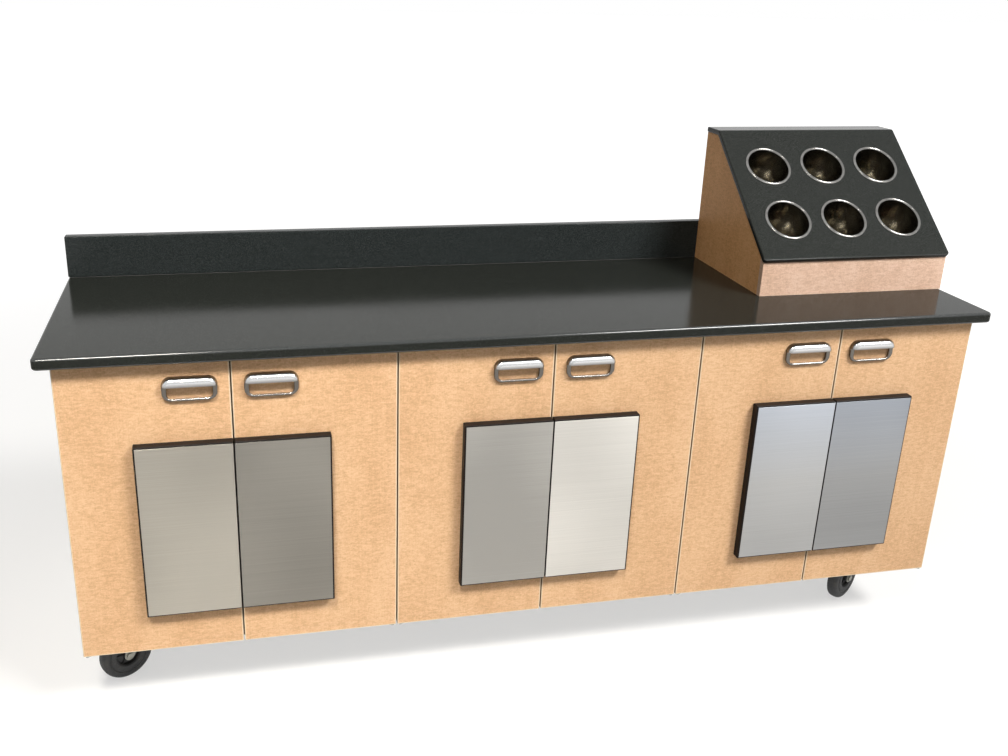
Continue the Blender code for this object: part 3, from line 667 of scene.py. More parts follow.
def satin_nickel():
    """Satin plating, with painted shade where it is low on a pull and a painted highlight on its hood's
    front and on upturned faces below the lip.
    """
    finish = Finish("satin_nickel", 0.24, 1.0)
    grain = finish.noise((1800, 420, 420), 2.0)
    # Painted shade on the low parts, painted highlight on the hood's front
    dark = finish.tones(grain, *NICKEL_PAINTED_SHADE)
    bright = finish.tones(grain, *NICKEL_PAINTED_HIGHLIGHT)
    lip = PULL_HEIGHT / 2 - PULL_HOOD
    inner, outer = PULL_HIGHLIGHT_DEPTHS
    outwards = {"Value": finish.place("Y"), "From Min": inner, "From Max": outer}
    upwards = {"Value": finish.place("Z"), "From Min": lip, "From Max": lip + PULL_HIGHLIGHT_RISE}
    upwards["To Min"] = PULL_LOWEST_HIGHLIGHT
    rise = finish.node("MapRange", outwards).outputs[0]
    lift = finish.node("MapRange", upwards).outputs[0]
    # Painted highlight on upturned faces below the lip
    tilted, flat = PULL_LEDGE_TURNS
    level = {"Value": finish.normal("Z"), "From Min": tilted, "From Max": flat, "To Max": PULL_LEDGE_HIGHLIGHT}
    below = finish.math("LESS_THAN", finish.place("Z"), lip - PULL_LEDGE_DROP)
    ledge_highlight = finish.math("MULTIPLY", finish.node("MapRange", level).outputs[0], below)
    painted_highlight = finish.math("MAXIMUM", finish.math("MULTIPLY", rise, lift), ledge_highlight)
    finish.feed("Base Color", finish.mix(painted_highlight, dark, bright))
    finish.rough(grain, 0.18, 0.30)
    finish.relief(grain, 0.00001)
    return finish.material


def polished_steel():
    """Drawn steel with faint spinning marks, bright outside, with painted shade inside and on its rim."""
    finish = Finish("polished_stainless", 0.14, 1.0)
    marks = finish.noise((12, 12, 1500), 2.0)
    smear = finish.noise((40, 40, 25), 3.0)
    # Painted shade on the rim and inside; the outside keeps the bright tone
    rim = finish.tones(smear, *CYLINDER_RIM_SHADE)
    bright = finish.tones(smear, *CYLINDER_OUTSIDE)
    painted_inside_shade = finish.tones(smear, *CYLINDER_INSIDE_SHADE)
    sides = {0: finish.coordinates.outputs["Object"], 1: finish.coordinates.outputs["Normal"]}
    outwards = finish.node("VectorMath", sides, operation="DOT_PRODUCT").outputs["Value"]
    inner = finish.math("LESS_THAN", outwards, 0.0)
    below_rim = finish.math("LESS_THAN", finish.place("Z"), -RIM_SHADE_DEPTH)
    finish.feed("Base Color", finish.mix(below_rim, rim, finish.mix(inner, bright, painted_inside_shade)))
    finish.rough(finish.math("MULTIPLY", finish.math("ADD", marks, smear), 0.5), 0.10, 0.28)
    finish.relief(marks, 0.00002)
    return finish.material


def black_edging():
    finish = Finish("black_edging", 0.5, specular_ior_level=EDGING_GLOSS)
    grain = finish.noise((90, 90, 700), 3.0)
    finish.feed("Base Color", finish.tones(grain, *EDGING_TONES))
    finish.rough(grain, 0.35, 0.55)
    return finish.material


def zinc_plate():
    finish = Finish("zinc_plate", 0.36, 1.0)
    spangle = finish.noise((120, 120, 120), 4.0)
    finish.feed("Base Color", finish.tones(spangle, *ZINC_TONES))
    finish.rough(spangle, 0.26, 0.48)
    finish.relief(spangle, 0.00004)
    return finish.material


def tyre_rubber():
    finish = Finish("grey_rubber", 0.62)
    grain = finish.noise((700, 700, 700), 3.0)
    dust = finish.noise((45, 45, 45), 3.0)
    base = finish.ramp(grain, (0.35, RUBBER_DARK), (0.65, RUBBER_LIGHT))
    scuff = finish.ramp(dust, (0.5, (0, 0, 0)), (0.75, (0.6, 0.6, 0.6)))
    finish.feed("Base Color", finish.mix(scuff, base, RUBBER_DUST))
    finish.rough(dust, 0.5, 0.75)
    finish.relief(grain, 0.00008)
    return finish.material


def moulded_plastic(name, colour, roughness):
    finish = Finish(name, roughness)
    grain = finish.noise((1200, 1200, 1200), 2.0)
    darker = tuple(0.8 * c for c in colour)
    finish.feed("Base Color", finish.tones(grain, darker, colour))
    finish.relief(grain, 0.00003)
    return finish.material


MAPLE = maple_laminate("maple_laminate", NO_TINT)
# Copies of the maple with painted light: warm on the bin's sides and back, a cool sheen on its front
MAPLE_BIN_SIDE_PAINTED_LIGHT = maple_laminate("maple_bin_side_painted_light", BIN_SIDE_PAINTED_WARM_LIGHT)
MAPLE_BIN_FRONT_PAINTED_SHEEN = maple_laminate("maple_bin_front_painted_sheen", BIN_FRONT_PAINTED_SHEEN)
LINER = melamine()
# Copies of one charcoal, told apart only by painted light
CHARCOAL_WORKTOP = solid_surface("charcoal_solid_surface", CHARCOAL_GLOSS, WORKTOP_PAINTED_REFLECTION)
CHARCOAL_UPSTAND = solid_surface("charcoal_upstand_painted_light", CHARCOAL_GLOSS, UPSTAND_PAINTED_COOL_LIGHT)
CHARCOAL_SLOPE = solid_surface("charcoal_slope_painted_light", CHARCOAL_GLOSS, SLOPE_PAINTED_LIGHT)
CHARCOAL_EDGE = solid_surface("charcoal_polished_edge", POLISHED_GLOSS, NO_TINT)
NICKEL = satin_nickel()
POLISHED = polished_steel()
BLACK_EDGE = black_edging()
ZINC = zinc_plate()
RUBBER = tyre_rubber()
HUB = moulded_plastic("hub_plastic", HUB_BLACK, 0.5)
SEALANT = moulded_plastic("dark_sealant", SEALANT_BLACK, 0.6)
BUMPER = moulded_plastic("soft_bumper", BUMPER_WHITE, 0.35)
BORE_SHADE_DISC = moulded_plastic("sleeve_bore", BORE_PAINTED_SHADE, 0.8)


def paint(node, material):
    """A CAD node that keeps its shape takes a new finish."""
    slots = frame["nodes"][node].data.materials
    slots.clear()
    slots.append(material)


def paint_cad_nodes():
    for number in DOORS:
        paint(f"door_{number}", door_laminate(number))
        paint(f"panel_core_{number}", BLACK_EDGE)
    paint("back_panel", MAPLE)
    for name in ("bin_left_side", "bin_right_side", "bin_back_panel"):
        paint(name, MAPLE_BIN_SIDE_PAINTED_LIGHT)
    paint("bin_front_panel", MAPLE_BIN_FRONT_PAINTED_SHEEN)
    for name in ("rear_top_rail", "shelf_1", "shelf_2", "shelf_3"):
        paint(name, LINER)
    carcass_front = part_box("left_end_panel")[0].y
    for name in ("deck_panel", "front_top_rail"):
        paint(name, rail_board(f"{name}_finish", carcass_front - PIVOT_MARGIN))
    shelf_ends = [(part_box(f"shelf_{bay}")[0].x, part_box(f"shelf_{bay}")[1].x) for bay in (1, 2, 3)]
    uprights = (
        ("left_end_panel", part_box("left_end_panel")[0].x, shelf_ends[0][0] - SHELF_CLEARANCE, -1),
        ("left_partition", shelf_ends[0][1] + SHELF_CLEARANCE, shelf_ends[1][0] - SHELF_CLEARANCE, 0),
        ("right_partition", shelf_ends[1][1] + SHELF_CLEARANCE, shelf_ends[2][0] - SHELF_CLEARANCE, 0),
        ("right_end_panel", shelf_ends[2][1] + SHELF_CLEARANCE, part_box("right_end_panel")[1].x, 1),
    )
    for name, low_x, high_x, outer_side in uprights:
        paint(name, upright_board(f"{name}_finish", low_x, high_x, outer_side))
    for number in CASTERS:
        paint(f"caster_plate_{number}", ZINC)


def polish_faces(mesh, finish, is_polished):
    """One finish all over, with the polished one on the faces whose normals the test picks."""
    mesh.materials.clear()
    mesh.materials.append(finish)
    mesh.materials.append(CHARCOAL_EDGE)
    for face in mesh.polygons:
        face.material_index = int(is_polished(face.normal))


def add_worktop():
    low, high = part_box("countertop")
    past_back = high.y + 4 * TOP_EDGE
    outline = [(high.x, past_back), (low.x, past_back)]
    outline += arc(low.x + TOP_CORNER, low.y + TOP_CORNER, TOP_CORNER, 180, 270, 10)
    outline += arc(high.x - TOP_CORNER, low.y + TOP_CORNER, TOP_CORNER, 270, 360, 10)
    slab = plate([outline], high.z - low.z, TOP_EDGE, 8)
    slab = moved(slab, Matrix.Translation((0, 0, (low.z + high.z) / 2)))
    room = Vector((1, 1, 1))
    front_part = block(low - room, Vector((high.x + 1, high.y, high.z + 1)))
    slab = flat_shaded(combined(slab, front_part, "INTERSECT"))
    polish_faces(slab, CHARCOAL_WORKTOP, lambda turn: abs(turn.y * turn.z) > POLISHED_TURN)
    add_piece("worktop_slab", slab, CHARCOAL_WORKTOP, "cabinet", ["countertop"])
    low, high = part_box("backsplash")
    upstand = bevelled(block(low, high), UPSTAND_EDGE, 4)
    add_piece("rear_upstand", upstand, CHARCOAL_UPSTAND, "cabinet", ["backsplash"])


def cylinder_frames():
    """The place of each utensil cylinder: its rim's underside and its axis, read from the CAD node."""
    places = {}
    for number in CYLINDERS:
        axis = Vector(JOINTS[f"cylinder_{number}_lift"]["axis"]).normalized()
        across = Vector((1, 0, 0))
        up_slope = axis.cross(across)
        points = [v.co for v in frame["nodes"][f"utensil_cylinder_{number}"].data.vertices]
        x = (min(p.x for p in points) + max(p.x for p in points)) / 2
        along = [p.dot(up_slope) for p in points]
        middle = (min(along) + max(along)) / 2
        top = max(p.dot(axis) for p in points) - RIM_HEIGHT
        seat = across * x + up_slope * middle + axis * top
        turn = Matrix((across, up_slope, axis)).transposed().to_4x4()
        places[number] = Matrix.Translation(seat) @ turn
    return places


def add_bin_top(places):
    """Slab bent from the slope to a level ledge, with a bored hole for each cylinder."""
    low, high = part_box("bin_top")
    axis = JOINTS["cylinder_1_lift"]["axis"]
    slope = math.atan2(-axis[1], axis[2])
    normal = Vector((-math.sin(slope), math.cos(slope)))
    along = Vector((math.cos(slope), math.sin(slope)))
    seat = places[1].translation
    face = Vector((seat.y, seat.z))
    crease = face + along * ((high.z - face.y) / along.y)
    under = crease + Vector((math.tan(slope / 2) * SLAB, -SLAB))
    foot = face + along * ((low.z - face.y + normal.y * SLAB) / along.y)
    turn_start = crease - along * SLAB_CREASE * math.tan(slope / 2) - normal * SLAB_CREASE
    past_foot = foot - along * SLAB_CORNER
    section = [tuple(past_foot - normal * SLAB), tuple(under), (high.y, high.z - SLAB), (high.y, high.z)]
    section += arc(*turn_start, SLAB_CREASE, 90, 90 + math.degrees(slope), 8)
    section.append(tuple(past_foot))
    to_section = Matrix(((0, 0, 1, 0), (1, 0, 0, 0), (0, 1, 0, 0), (0, 0, 0, 1)))
    middle = (low.x + high.x) / 2
    half = (high.x - low.x) / 2
    slab = plate([section], 2 * (half + SLAB_CORNER))
    slab = moved(slab, Matrix.Translation((middle, 0, 0)) @ to_section)
    reach = 2 * (high.y - low.y)
    trim = [(half, reach), (-half, reach)]
    trim += arc(-half + SLAB_CORNER, SLAB_CORNER, SLAB_CORNER, 180, 270, 8)
    trim += arc(half - SLAB_CORNER, SLAB_CORNER, SLAB_CORNER, 270, 360, 8)
    on_slope = Matrix.Translation((middle, *foot)) @ Matrix.Rotation(slope, 4, "X")
    slab = combined(slab, moved(plate([trim], reach), on_slope), "INTERSECT")
    slab = bevelled(slab, SLAB_EDGE, 4, 50)
    bore = slug(HOLE_RADIUS, -3 * SLAB, SLAB, 96)
    for place in places.values():
        slab = combined(slab, moved(bore, place), "DIFFERENCE")
    slab = flat_shaded(slab, 30)
    outwards = Vector((0, *normal))
    downhill = Vector((0, *-along))

    def is_lower_edge(turn):
        return turn.dot(outwards) > SLAB_FACE_TURN and turn.dot(downhill) > POLISHED_TURN

    polish_faces(slab, CHARCOAL_SLOPE, is_lower_edge)
    add_piece("bin_slope_top", slab, CHARCOAL_SLOPE, "cabinet", ["bin_top"])


def cylinder_mesh():
    """Drawn cylinder with a rolled rim, a tapering wall and a round-edged, slightly domed base."""
    wall = CYLINDER_WALL
    floor = -CYLINDER_DEPTH
    roll_middle = (MOUTH_RADIUS + RIM_RADIUS) / 2
    roll_half = (RIM_RADIUS - MOUTH_RADIUS) / 2
    inner_base = BASE_RADIUS - wall
    inside = floor + wall
    profile = [(0.0, inside + INNER_DOME[0]), (inner_base * 0.5, inside + INNER_DOME[1])]
    profile += arc(inner_base - BASE_ROUND, inside + BASE_ROUND, BASE_ROUND, 270, 360, 6)
    profile.append((MOUTH_RADIUS - NECK_EASE, -RIM_HEIGHT))
    for step in range(ROLL_STEPS + 1):
        angle = math.radians(180 - 180 * step / ROLL_STEPS)
        profile.append((roll_middle + roll_half * math.cos(angle), RIM_HEIGHT * math.sin(angle)))
    profile += [(RIM_RADIUS - wall, 0.0), (BODY_RADIUS + NECK_EASE, 0.0), (BODY_RADIUS, -2 * NECK_EASE)]
    profile.append((BASE_RADIUS, floor + BASE_ROUND))
    profile += arc(BASE_RADIUS - BASE_ROUND, floor + BASE_ROUND, BASE_ROUND, 360, 270, 6)[1:]
    profile += [(BASE_RADIUS * 0.5, floor + OUTER_DOME[1]), (0.0, floor + OUTER_DOME[0])]
    return smoothed(turned(profile, 96), 40)


def add_cylinders(places):
    mesh = cylinder_mesh()
    for number, place in places.items():
        node = f"utensil_cylinder_{number}"
        body = f"cylinder_{number}_body"
        add_piece(f"drawn_{node}", mesh, POLISHED, body, [node], place)


def pillow(inset):
    """Block with the pull's outline and a round front, drawn in all round; its middle is on Y = 0."""
    outline = rounded_rectangle(PULL_WIDTH - 2 * inset, PULL_HEIGHT - 2 * inset, PULL_END - inset)
    made = plate([outline], 2 * (PULL_DEPTH - inset), PULL_ROUND - inset, 12)
    return moved(made, Matrix.Rotation(math.pi / 2, 4, "X"))


def pull_mesh():
    """Hooded pull in a rounded frame; the origin is its middle on the door's face."""
    lip = PULL_HEIGHT / 2 - PULL_HOOD
    reach = PULL_WIDTH
    hood = combined(pillow(0.0), block((-reach, -reach, lip), (reach, 0, reach)), "INTERSECT")
    hood = combined(hood, pillow(PULL_WALL), "DIFFERENCE")
    inset = 2 * PULL_FRAME_INSET
    outer = rounded_rectangle(PULL_WIDTH - inset, PULL_HEIGHT - inset, PULL_END - PULL_FRAME_INSET)
    inner = rounded_rectangle(PULL_WIDTH - 2 * PULL_SIDE, PULL_HEIGHT - 2 * PULL_BAR, PULL_CORNER)
    rim = plate([outer, inner], PULL_FRAME_DEPTH, PULL_FRAME_EDGE)
    upright = Matrix.Translation((0, -PULL_FRAME_DEPTH / 2, 0)) @ Matrix.Rotation(math.pi / 2, 4, "X")
    return smoothed(combined(hood, moved(rim, upright), "UNION"), 38)


def screw_mesh():
    """Pan-head screw with a square recess, its head on Z = 0 and upwards."""
    radius = SCREW_RADIUS
    height = radius * 0.5
    profile = [(0.0, 0.0), (radius, 0.0), (radius, height * 0.35)]
    profile += [(radius * 0.86, height * 0.75), (radius * 0.6, height), (0.0, height)]
    head = turned(profile, 24)
    half = radius * 0.28
    recess = block((-half, -half, height * 0.4), (half, half, height * 2))
    return smoothed(combined(head, recess, "DIFFERENCE"), 30)


def bumper_mesh():
    """Self-stick door bumper, a low dome."""
    profile = [(0.0, 0.0), (BUMPER_RADIUS, 0.0)]
    profile += arc(BUMPER_RADIUS - BUMPER_ROUND, BUMPER_FOOT, BUMPER_ROUND, 0, 60, 4)
    profile.append((0.0, BUMPER_RISE))
    return smoothed(turned(profile, 24), 40)


def on_back(mesh, back_y, spots):
    """Copies of a small piece on a face that looks to +Y, as one mesh."""
    to_back = Matrix.Rotation(-math.pi / 2, 4, "X")
    return gathered([moved(mesh, Matrix.Translation((x, back_y, z)) @ to_back) for x, z in spots])


def add_doors():
    pull = pull_mesh()
    screw = screw_mesh()
    bumper = bumper_mesh()
    for number in DOORS:
        body = f"door_{number}_body"
        low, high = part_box(f"handle_{number}")
        pull_x = (low.x + high.x) / 2
        pull_z = high.z - PULL_HEIGHT / 2
        place = Matrix.Translation((pull_x, high.y, pull_z))
        add_piece(f"cup_pull_{number}", pull, NICKEL, body, [f"handle_{number}"], place)
        sheet_low, sheet_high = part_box(f"panel_face_{number}")
        sheet = bevelled(block(sheet_low, sheet_high), SHEET_EDGE, 2)
        face = f"panel_face_{number}"
        add_piece(f"steel_sheet_{number}", sheet, brushed_steel(number), body, [face])
        door_low, door_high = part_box(f"door_{number}")
        spots = [(pull_x - PULL_SCREW_REACH, pull_z), (pull_x + PULL_SCREW_REACH, pull_z)]
        for x in (sheet_low.x + SHEET_SCREW_INSET_X, sheet_high.x - SHEET_SCREW_INSET_X):
            for z in (sheet_low.z + SHEET_SCREW_INSET_Z, sheet_high.z - SHEET_SCREW_INSET_Z):
                spots.append((x, z))
        heads = on_back(screw, door_high.y, spots)
        add_piece(f"door_screws_{number}", smoothed(heads, 30), ZINC, body)
        meeting_x = door_high.x - BUMPER_INSET_X if number % 2 else door_low.x + BUMPER_INSET_X
        heights = (door_low.z + BUMPER_INSET_Z, door_high.z - BUMPER_INSET_Z)
        dots = on_back(bumper, door_high.y, [(meeting_x, z) for z in heights])
        add_piece(f"door_bumpers_{number}", smoothed(dots, 40), BUMPER, body)


def tyre_mesh():
    """Round-shouldered tyre with a ring groove in each side; it turns about Z."""
    side = [
        (0.0286, 0.0112), (0.0290, 0.0134), (0.0300, 0.0146), (0.0335, 0.0150), (0.0414, 0.0148),
        (0.0430, 0.0141), (0.0438, 0.0128), (0.0456, 0.0128), (0.0464, 0.0140), (0.0482, 0.0146),
        (0.0520, 0.0144), (0.0560, 0.0136), (0.0590, 0.0120), (0.0609, 0.0098), (0.0620, 0.0068),
        (WHEEL_RADIUS, 0.0035),
    ]
    profile = side + [(r, -h) for r, h in reversed(side)]
    return smoothed(turned(profile, 120, closed=True), 50)


def hub_mesh():
    """Moulded hub with a sunk web, ribs and a boss round the axle; it turns about Z."""
    side = [
        (AXLE_RADIUS, 0.0158), (0.0105, 0.0158), (0.0113, 0.0150), (0.0120, 0.0062),
        (0.0262, 0.0058), (0.0270, 0.0100), (0.0276, 0.0110), (0.0285, 0.0110), (0.0288, 0.0100),
    ]
    profile = side + [(r, -h) for r, h in reversed(side)]
    hub = turned(profile, 96, closed=True)
    start, end = RIB_ENDS
    rib = block((start, -RIB_HALF_WIDTH, -RIB_HALF_HEIGHT), (end, RIB_HALF_WIDTH, RIB_HALF_HEIGHT))
    for step in range(RIBS):
        hub = combined(hub, moved(rib, Matrix.Rotation(step * 2 * math.pi / RIBS, 4, "Z")), "UNION")
    return smoothed(hub, 35)


def fork_mesh():
    """Pressed fork with its crown, legs and axle; the origin is on the swivel axis at the floor."""
    stand = Matrix.Rotation(math.pi / 2, 4, "X")
    outline = [(FORK_FRONT, FORK_TOP), (-FORK_BACK, FORK_TOP)]
    outline += arc(-TRAIL, WHEEL_RADIUS, FORK_EYE, 170, 340, 24)
    outline += arc(FORK_FRONT - FORK_SHOULDER, FORK_TOP - FORK_SHOULDER_DROP, FORK_SHOULDER, 300, 360, 6)
    leg = plate([outline], FORK_LEG, FORK_EDGE)
    width = FORK_GAP + FORK_LEG
    half = width - CROWN_SIDE_INSET
    crown_low = (-CROWN_BACK, -half, FORK_TOP - CROWN_DEPTH)
    crown_high = (CROWN_FRONT, half, FORK_TOP - CROWN_TOP_DROP)
    fork = bevelled(block(crown_low, crown_high), CROWN_EDGE, 2)
    for side in (-1, 1):
        place = Matrix.Translation((0, side * (FORK_GAP + FORK_LEG / 2), 0)) @ stand
        fork = combined(fork, moved(leg, place), "UNION")
    on_axle = Matrix.Translation((-TRAIL, 0, WHEEL_RADIUS)) @ stand
    axle = slug(AXLE_RADIUS - AXLE_PLAY, -width, width, 32)
    fork = combined(fork, moved(axle, on_axle), "UNION")
    nut = bevelled(slug(NUT_RADIUS, 0.0, NUT_HEIGHT, 6), NUT_EDGE, 2)
    for flip in (Matrix.Identity(4), Matrix.Rotation(math.pi, 4, "X")):
        place = on_axle @ flip @ Matrix.Translation((0, 0, width - JOINED / 2))
        fork = combined(fork, moved(nut, place), "UNION")
    return smoothed(fork, 32)


def bolt_mesh():
    """Hex bolt head on a washer, downwards from Z = 0."""
    washer = slug(WASHER_RADIUS, 0.0, -WASHER_THICKNESS, 32)
    head = bevelled(slug(BOLT_RADIUS, JOINED - WASHER_THICKNESS, -BOLT_BOTTOM, 6), BOLT_EDGE, 2)
    return smoothed(gathered([washer, head]), 30)


def add_casters():
    tyre = tyre_mesh()
    hub = hub_mesh()
    fork = fork_mesh()
    bolt = bolt_mesh()
    for number in CASTERS:
        swivel = Vector(JOINTS[f"caster_{number}_swivel"]["pos_m"])
        roll = JOINTS[f"caster_{number}_roll"]
        centre = Vector(roll["pos_m"])
        axle = Vector(roll["axis"])
        turn = math.atan2(axle.y, axle.x) - math.pi / 2
        heading = Matrix.Rotation(turn, 4, "Z")
        on_axle = Matrix.Translation(centre) @ heading @ Matrix.Rotation(math.pi / 2, 4, "X")
        wheel = f"caster_{number}_wheel_body"
        node = f"caster_wheel_{number}"
        add_piece(f"caster_tyre_{number}", tyre, RUBBER, wheel, [node], on_axle)
        add_piece(f"caster_hub_{number}", hub, HUB, wheel, (), on_axle)
        foot = Matrix.Translation((swivel.x, swivel.y, 0)) @ heading
        fork_body = f"caster_{number}_fork_body"
        node = f"caster_fork_{number}"
        add_piece(f"pressed_fork_{number}", fork, ZINC, fork_body, [node], foot)
        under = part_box(f"caster_plate_{number}")[1].z - PLATE_THICKNESS
        spots = [(sx * BOLT_SPREAD[0], sy * BOLT_SPREAD[1]) for sx in (-1, 1) for sy in (-1, 1)]
        bolts = [moved(bolt, Matrix.Translation((swivel.x + x, swivel.y + y, under))) for x, y in spots]
        group = smoothed(gathered(bolts), 30)
        add_piece(f"plate_bolts_{number}", group, ZINC, "cabinet")


def sleeve_mesh():
    """The thin collar of a shelf-pin sleeve, on Z = 0 and upwards."""
    inner, middle, outer = SLEEVE_HEIGHTS
    profile = [(SLEEVE_BORE, SLEEVE_FOOT), (SLEEVE_BORE, inner), (SLEEVE_LIP, middle)]
    profile += [(SLEEVE_RADIUS, outer), (SLEEVE_RADIUS, SLEEVE_FOOT)]
    return smoothed(turned(profile, 24, closed=True), 40)


def add_shelf_sleeves():
    """Columns of sleeves above and below each shelf, on both sides of every bay, with a dark disc of
    painted shade in each bore.
    """
    sleeve = sleeve_mesh()
    bore = slug(SLEEVE_BORE, SLEEVE_FOOT, SLEEVE_BOTTOM, 24)
    for bay in (1, 2, 3):
        low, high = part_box(f"shelf_{bay}")
        rows = [low.z + step * SLEEVE_PITCH - SLEEVE_DROP for step in SLEEVE_STEPS]
        columns = (low.y + SLEEVE_FRONT_INSET, high.y - SLEEVE_BACK_INSET)
        collars = []
        bores = []
        for x, side in ((low.x - SHELF_CLEARANCE, 1), (high.x + SHELF_CLEARANCE, -1)):
            turn = Matrix.Rotation(side * math.pi / 2, 4, "Y")
            for z in rows:
                for y in columns:
                    place = Matrix.Translation((x, y, z)) @ turn
                    collars.append(moved(sleeve, place))
                    bores.append(moved(bore, place))
        add_piece(f"shelf_sleeves_{bay}", smoothed(gathered(collars), 40), NICKEL, "cabinet")
        # A dark disc of painted shade in each bore
        add_piece(f"sleeve_bores_{bay}", gathered(bores), BORE_SHADE_DISC, "cabinet")


def add_back_screws():
    """Screws round the edge of the back panel."""
    low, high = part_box("back_panel")
    spots = []
    length = high.x - low.x - 2 * BACK_SCREW_ENDS
    for step in range(BACK_SCREW_STEPS + 1):
        x = low.x + BACK_SCREW_ENDS + length * step / BACK_SCREW_STEPS
        spots += [(x, low.z + BACK_SCREW_INSET_Z), (x, high.z - BACK_SCREW_INSET_Z)]
    for z in BACK_SCREW_HEIGHTS:
        spots += [(low.x + BACK_SCREW_INSET_X, z), (high.x - BACK_SCREW_INSET_X, z)]
    heads = on_back(screw_mesh(), high.y, spots)
    add_piece("back_screws", smoothed(heads, 30), ZINC, "cabinet")


def bead_mesh(points):
    """A round bead of sealant along a path."""
    curve = bpy.data.curves.new("bead", "CURVE")
    curve.dimensions = "3D"
    curve.bevel_depth = BEAD
    curve.bevel_resolution = 3
    curve.use_fill_caps = True
    spline = curve.splines.new("POLY")
    spline.points.add(len(points) - 1)
    for point, place in zip(spline.points, points):
        point.co = (*place, 1.0)
    return smoothed(baked(working(curve)), 60)


def add_sealant():
    """A bead where the upstand meets the worktop, partly sunk in both."""
    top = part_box("countertop")[1].z
    splash_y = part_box("backsplash")[0].y
    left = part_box("countertop")[0].x + BEAD_END_INSET
    bin_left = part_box("bin_left_side")[0].x
    sunk = BEAD * BEAD_SINK
    level = top - sunk
    path = [(left, splash_y + sunk, level), (bin_left + sunk, splash_y + sunk, level)]
    add_piece("upstand_sealant", bead_mesh(path), SEALANT, "cabinet")


def add_camera():
    camera = bpy.data.cameras.new("photo_camera")
    camera.sensor_fit = "HORIZONTAL"
    camera.sensor_width = SENSOR_WIDTH
    camera.lens = FOCAL_PIXELS * SENSOR_WIDTH / IMAGE_WIDTH
    camera.shift_x = (IMAGE_WIDTH / 2 - PRINCIPAL_X) / IMAGE_WIDTH
    camera.shift_y = (PRINCIPAL_Y - IMAGE_HEIGHT / 2) / IMAGE_WIDTH
    forward = Vector(
        (
            math.sin(CAMERA_YAW) * math.cos(CAMERA_PITCH),
            math.cos(CAMERA_YAW) * math.cos(CAMERA_PITCH),
            math.sin(CAMERA_PITCH),
        )
    )
    level = Vector((math.cos(CAMERA_YAW), -math.sin(CAMERA_YAW), 0.0))
    upright = level.cross(forward)
    right = math.cos(CAMERA_ROLL) * level + math.sin(CAMERA_ROLL) * upright
    up = math.cos(CAMERA_ROLL) * upright - math.sin(CAMERA_ROLL) * level
    obj = bpy.data.objects.new("photo_camera", camera)
    bpy.context.scene.collection.objects.link(obj)
    turn = Matrix((right, up, -forward)).transposed().to_4x4()
    obj.matrix_world = Matrix.Translation(CAMERA_PLACE) @ turn
    bpy.context.scene.camera = obj


def add_lamp(name, place, target, size, power, colour, spread=180):
    """A soft rectangular lamp that faces its target, with its beam's spread in degrees."""
    lamp = bpy.data.lights.new(name, "AREA")
    lamp.shape = "RECTANGLE"
    lamp.size, lamp.size_y = size
    lamp.energy = power
    lamp.color = colour
    lamp.spread = math.radians(spread)
    obj = bpy.data.objects.new(name, lamp)
    bpy.context.scene.collection.objects.link(obj)
    obj.location = place
    aim = Vector(target) - Vector(place)
    obj.rotation_euler = aim.to_track_quat("-Z", "Y").to_euler()


def seen_directly(nodes, links):
    """1 for camera, mirror and see-through rays, 0 for the rays that carry soft light."""
    path = nodes.new("ShaderNodeLightPath")
    seen = path.outputs["Is Camera Ray"]
    for kind in ("Is Glossy Ray", "Is Transmission Ray"):
        either = nodes.new("ShaderNodeMath")
        either.operation = "MAXIMUM"
        links.new(seen, either.inputs[0])
        links.new(path.outputs[kind], either.inputs[1])
        seen = either.outputs[0]
    return seen


def add_world():
    world = bpy.data.worlds.new("studio")
    bpy.context.scene.world = world
    world.use_nodes = True
    nodes = world.node_tree.nodes
    links = world.node_tree.links
    soft = nodes["Background"]
    soft.inputs["Color"].default_value = SOFT_LIGHT
    soft.inputs["Strength"].default_value = SOFT_STRENGTH
    white = nodes.new("ShaderNodeBackground")
    white.inputs["Color"].default_value = WHITE
    white.inputs["Strength"].default_value = 1.0
    choice = nodes.new("ShaderNodeMixShader")
    links.new(seen_directly(nodes, links), choice.inputs["Fac"])
    links.new(soft.outputs[0], choice.inputs[1])
    links.new(white.outputs[0], choice.inputs[2])
    links.new(choice.outputs[0], nodes["World Output"].inputs["Surface"])


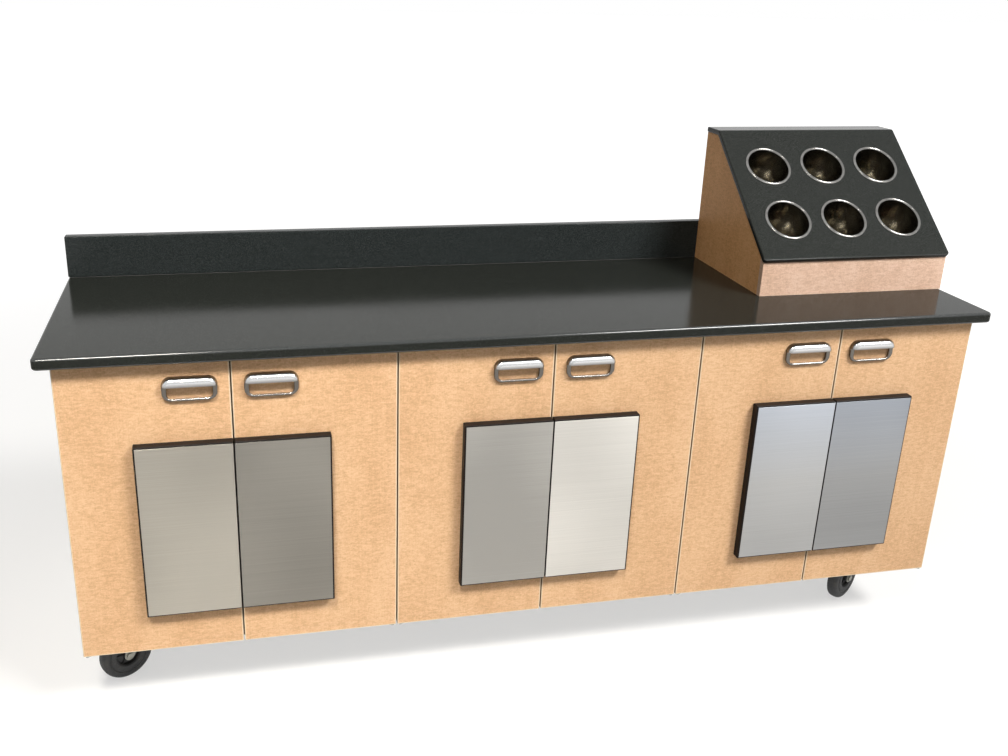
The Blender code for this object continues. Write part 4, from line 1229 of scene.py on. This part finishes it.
def add_floor():
    """Pale floor that looks white to the camera and keeps the object's shadow."""
    mesh = bpy.data.meshes.new("floor")
    corners = [(-1, -1), (1, -1), (1, 1), (-1, 1)]
    mesh.from_pydata([(x * FLOOR_REACH, y * FLOOR_REACH, 0) for x, y in corners], [], [(0, 1, 2, 3)])
    finish = Finish("floor", FLOOR_ROUGHNESS)
    pale = finish.shader
    pale.inputs["Base Color"].default_value = FLOOR_GREY
    out = finish.node("VectorMath", {0: finish.coordinates.outputs["Object"]}, operation="LENGTH")
    near, far = GLOW_DISTANCES
    dim, full = GLOW_LEVELS
    rise = {"Value": out.outputs["Value"], "From Min": near, "From Max": far, "To Min": dim, "To Max": full}
    glow = finish.node("Emission", {"Strength": finish.node("MapRange", rise).outputs[0]})
    both = finish.node("AddShader", {0: pale.outputs[0], 1: glow.outputs[0]})
    seen = seen_directly(finish.tree.nodes, finish.tree.links)
    choice = finish.node("MixShader", {0: seen, 1: pale.outputs[0], 2: both.outputs[0]})
    finish.tree.links.new(choice.outputs[0], finish.tree.nodes["Material Output"].inputs["Surface"])
    mesh.materials.append(finish.material)
    floor = bpy.data.objects.new("floor", mesh)
    bpy.context.scene.collection.objects.link(floor)
    floor.location.z = -FLOOR_DROP


def add_studio():
    add_world()
    add_floor()
    key = {"place": (2.9, -3.2, 5.0), "target": (0.0, -0.2, 0.5), "size": (2.2, 1.0), "power": 362}
    add_lamp("key", **key, colour=(1.0, 0.985, 0.96))
    fill = {"place": (-1.5, -3.0, 4.9), "target": (-0.85, -0.3, 0.4), "size": (0.9, 0.9), "power": 14.8}
    add_lamp("fill", **fill, colour=(1.0, 0.95, 0.87), spread=44)
    side = {"place": (2.3, -2.4, 2.8), "target": (1.05, -0.2, 0.7), "size": (0.5, 0.5), "power": 0.53}
    add_lamp("side", **side, colour=(1.0, 0.97, 0.98), spread=30)
    bpy.context.scene.view_settings.view_transform = "Standard"


add_camera()
add_studio()
paint_cad_nodes()
add_worktop()
CYLINDER_PLACES = cylinder_frames()
add_bin_top(CYLINDER_PLACES)
add_cylinders(CYLINDER_PLACES)
add_doors()
add_casters()
add_shelf_sleeves()
add_back_screws()
add_sealant()
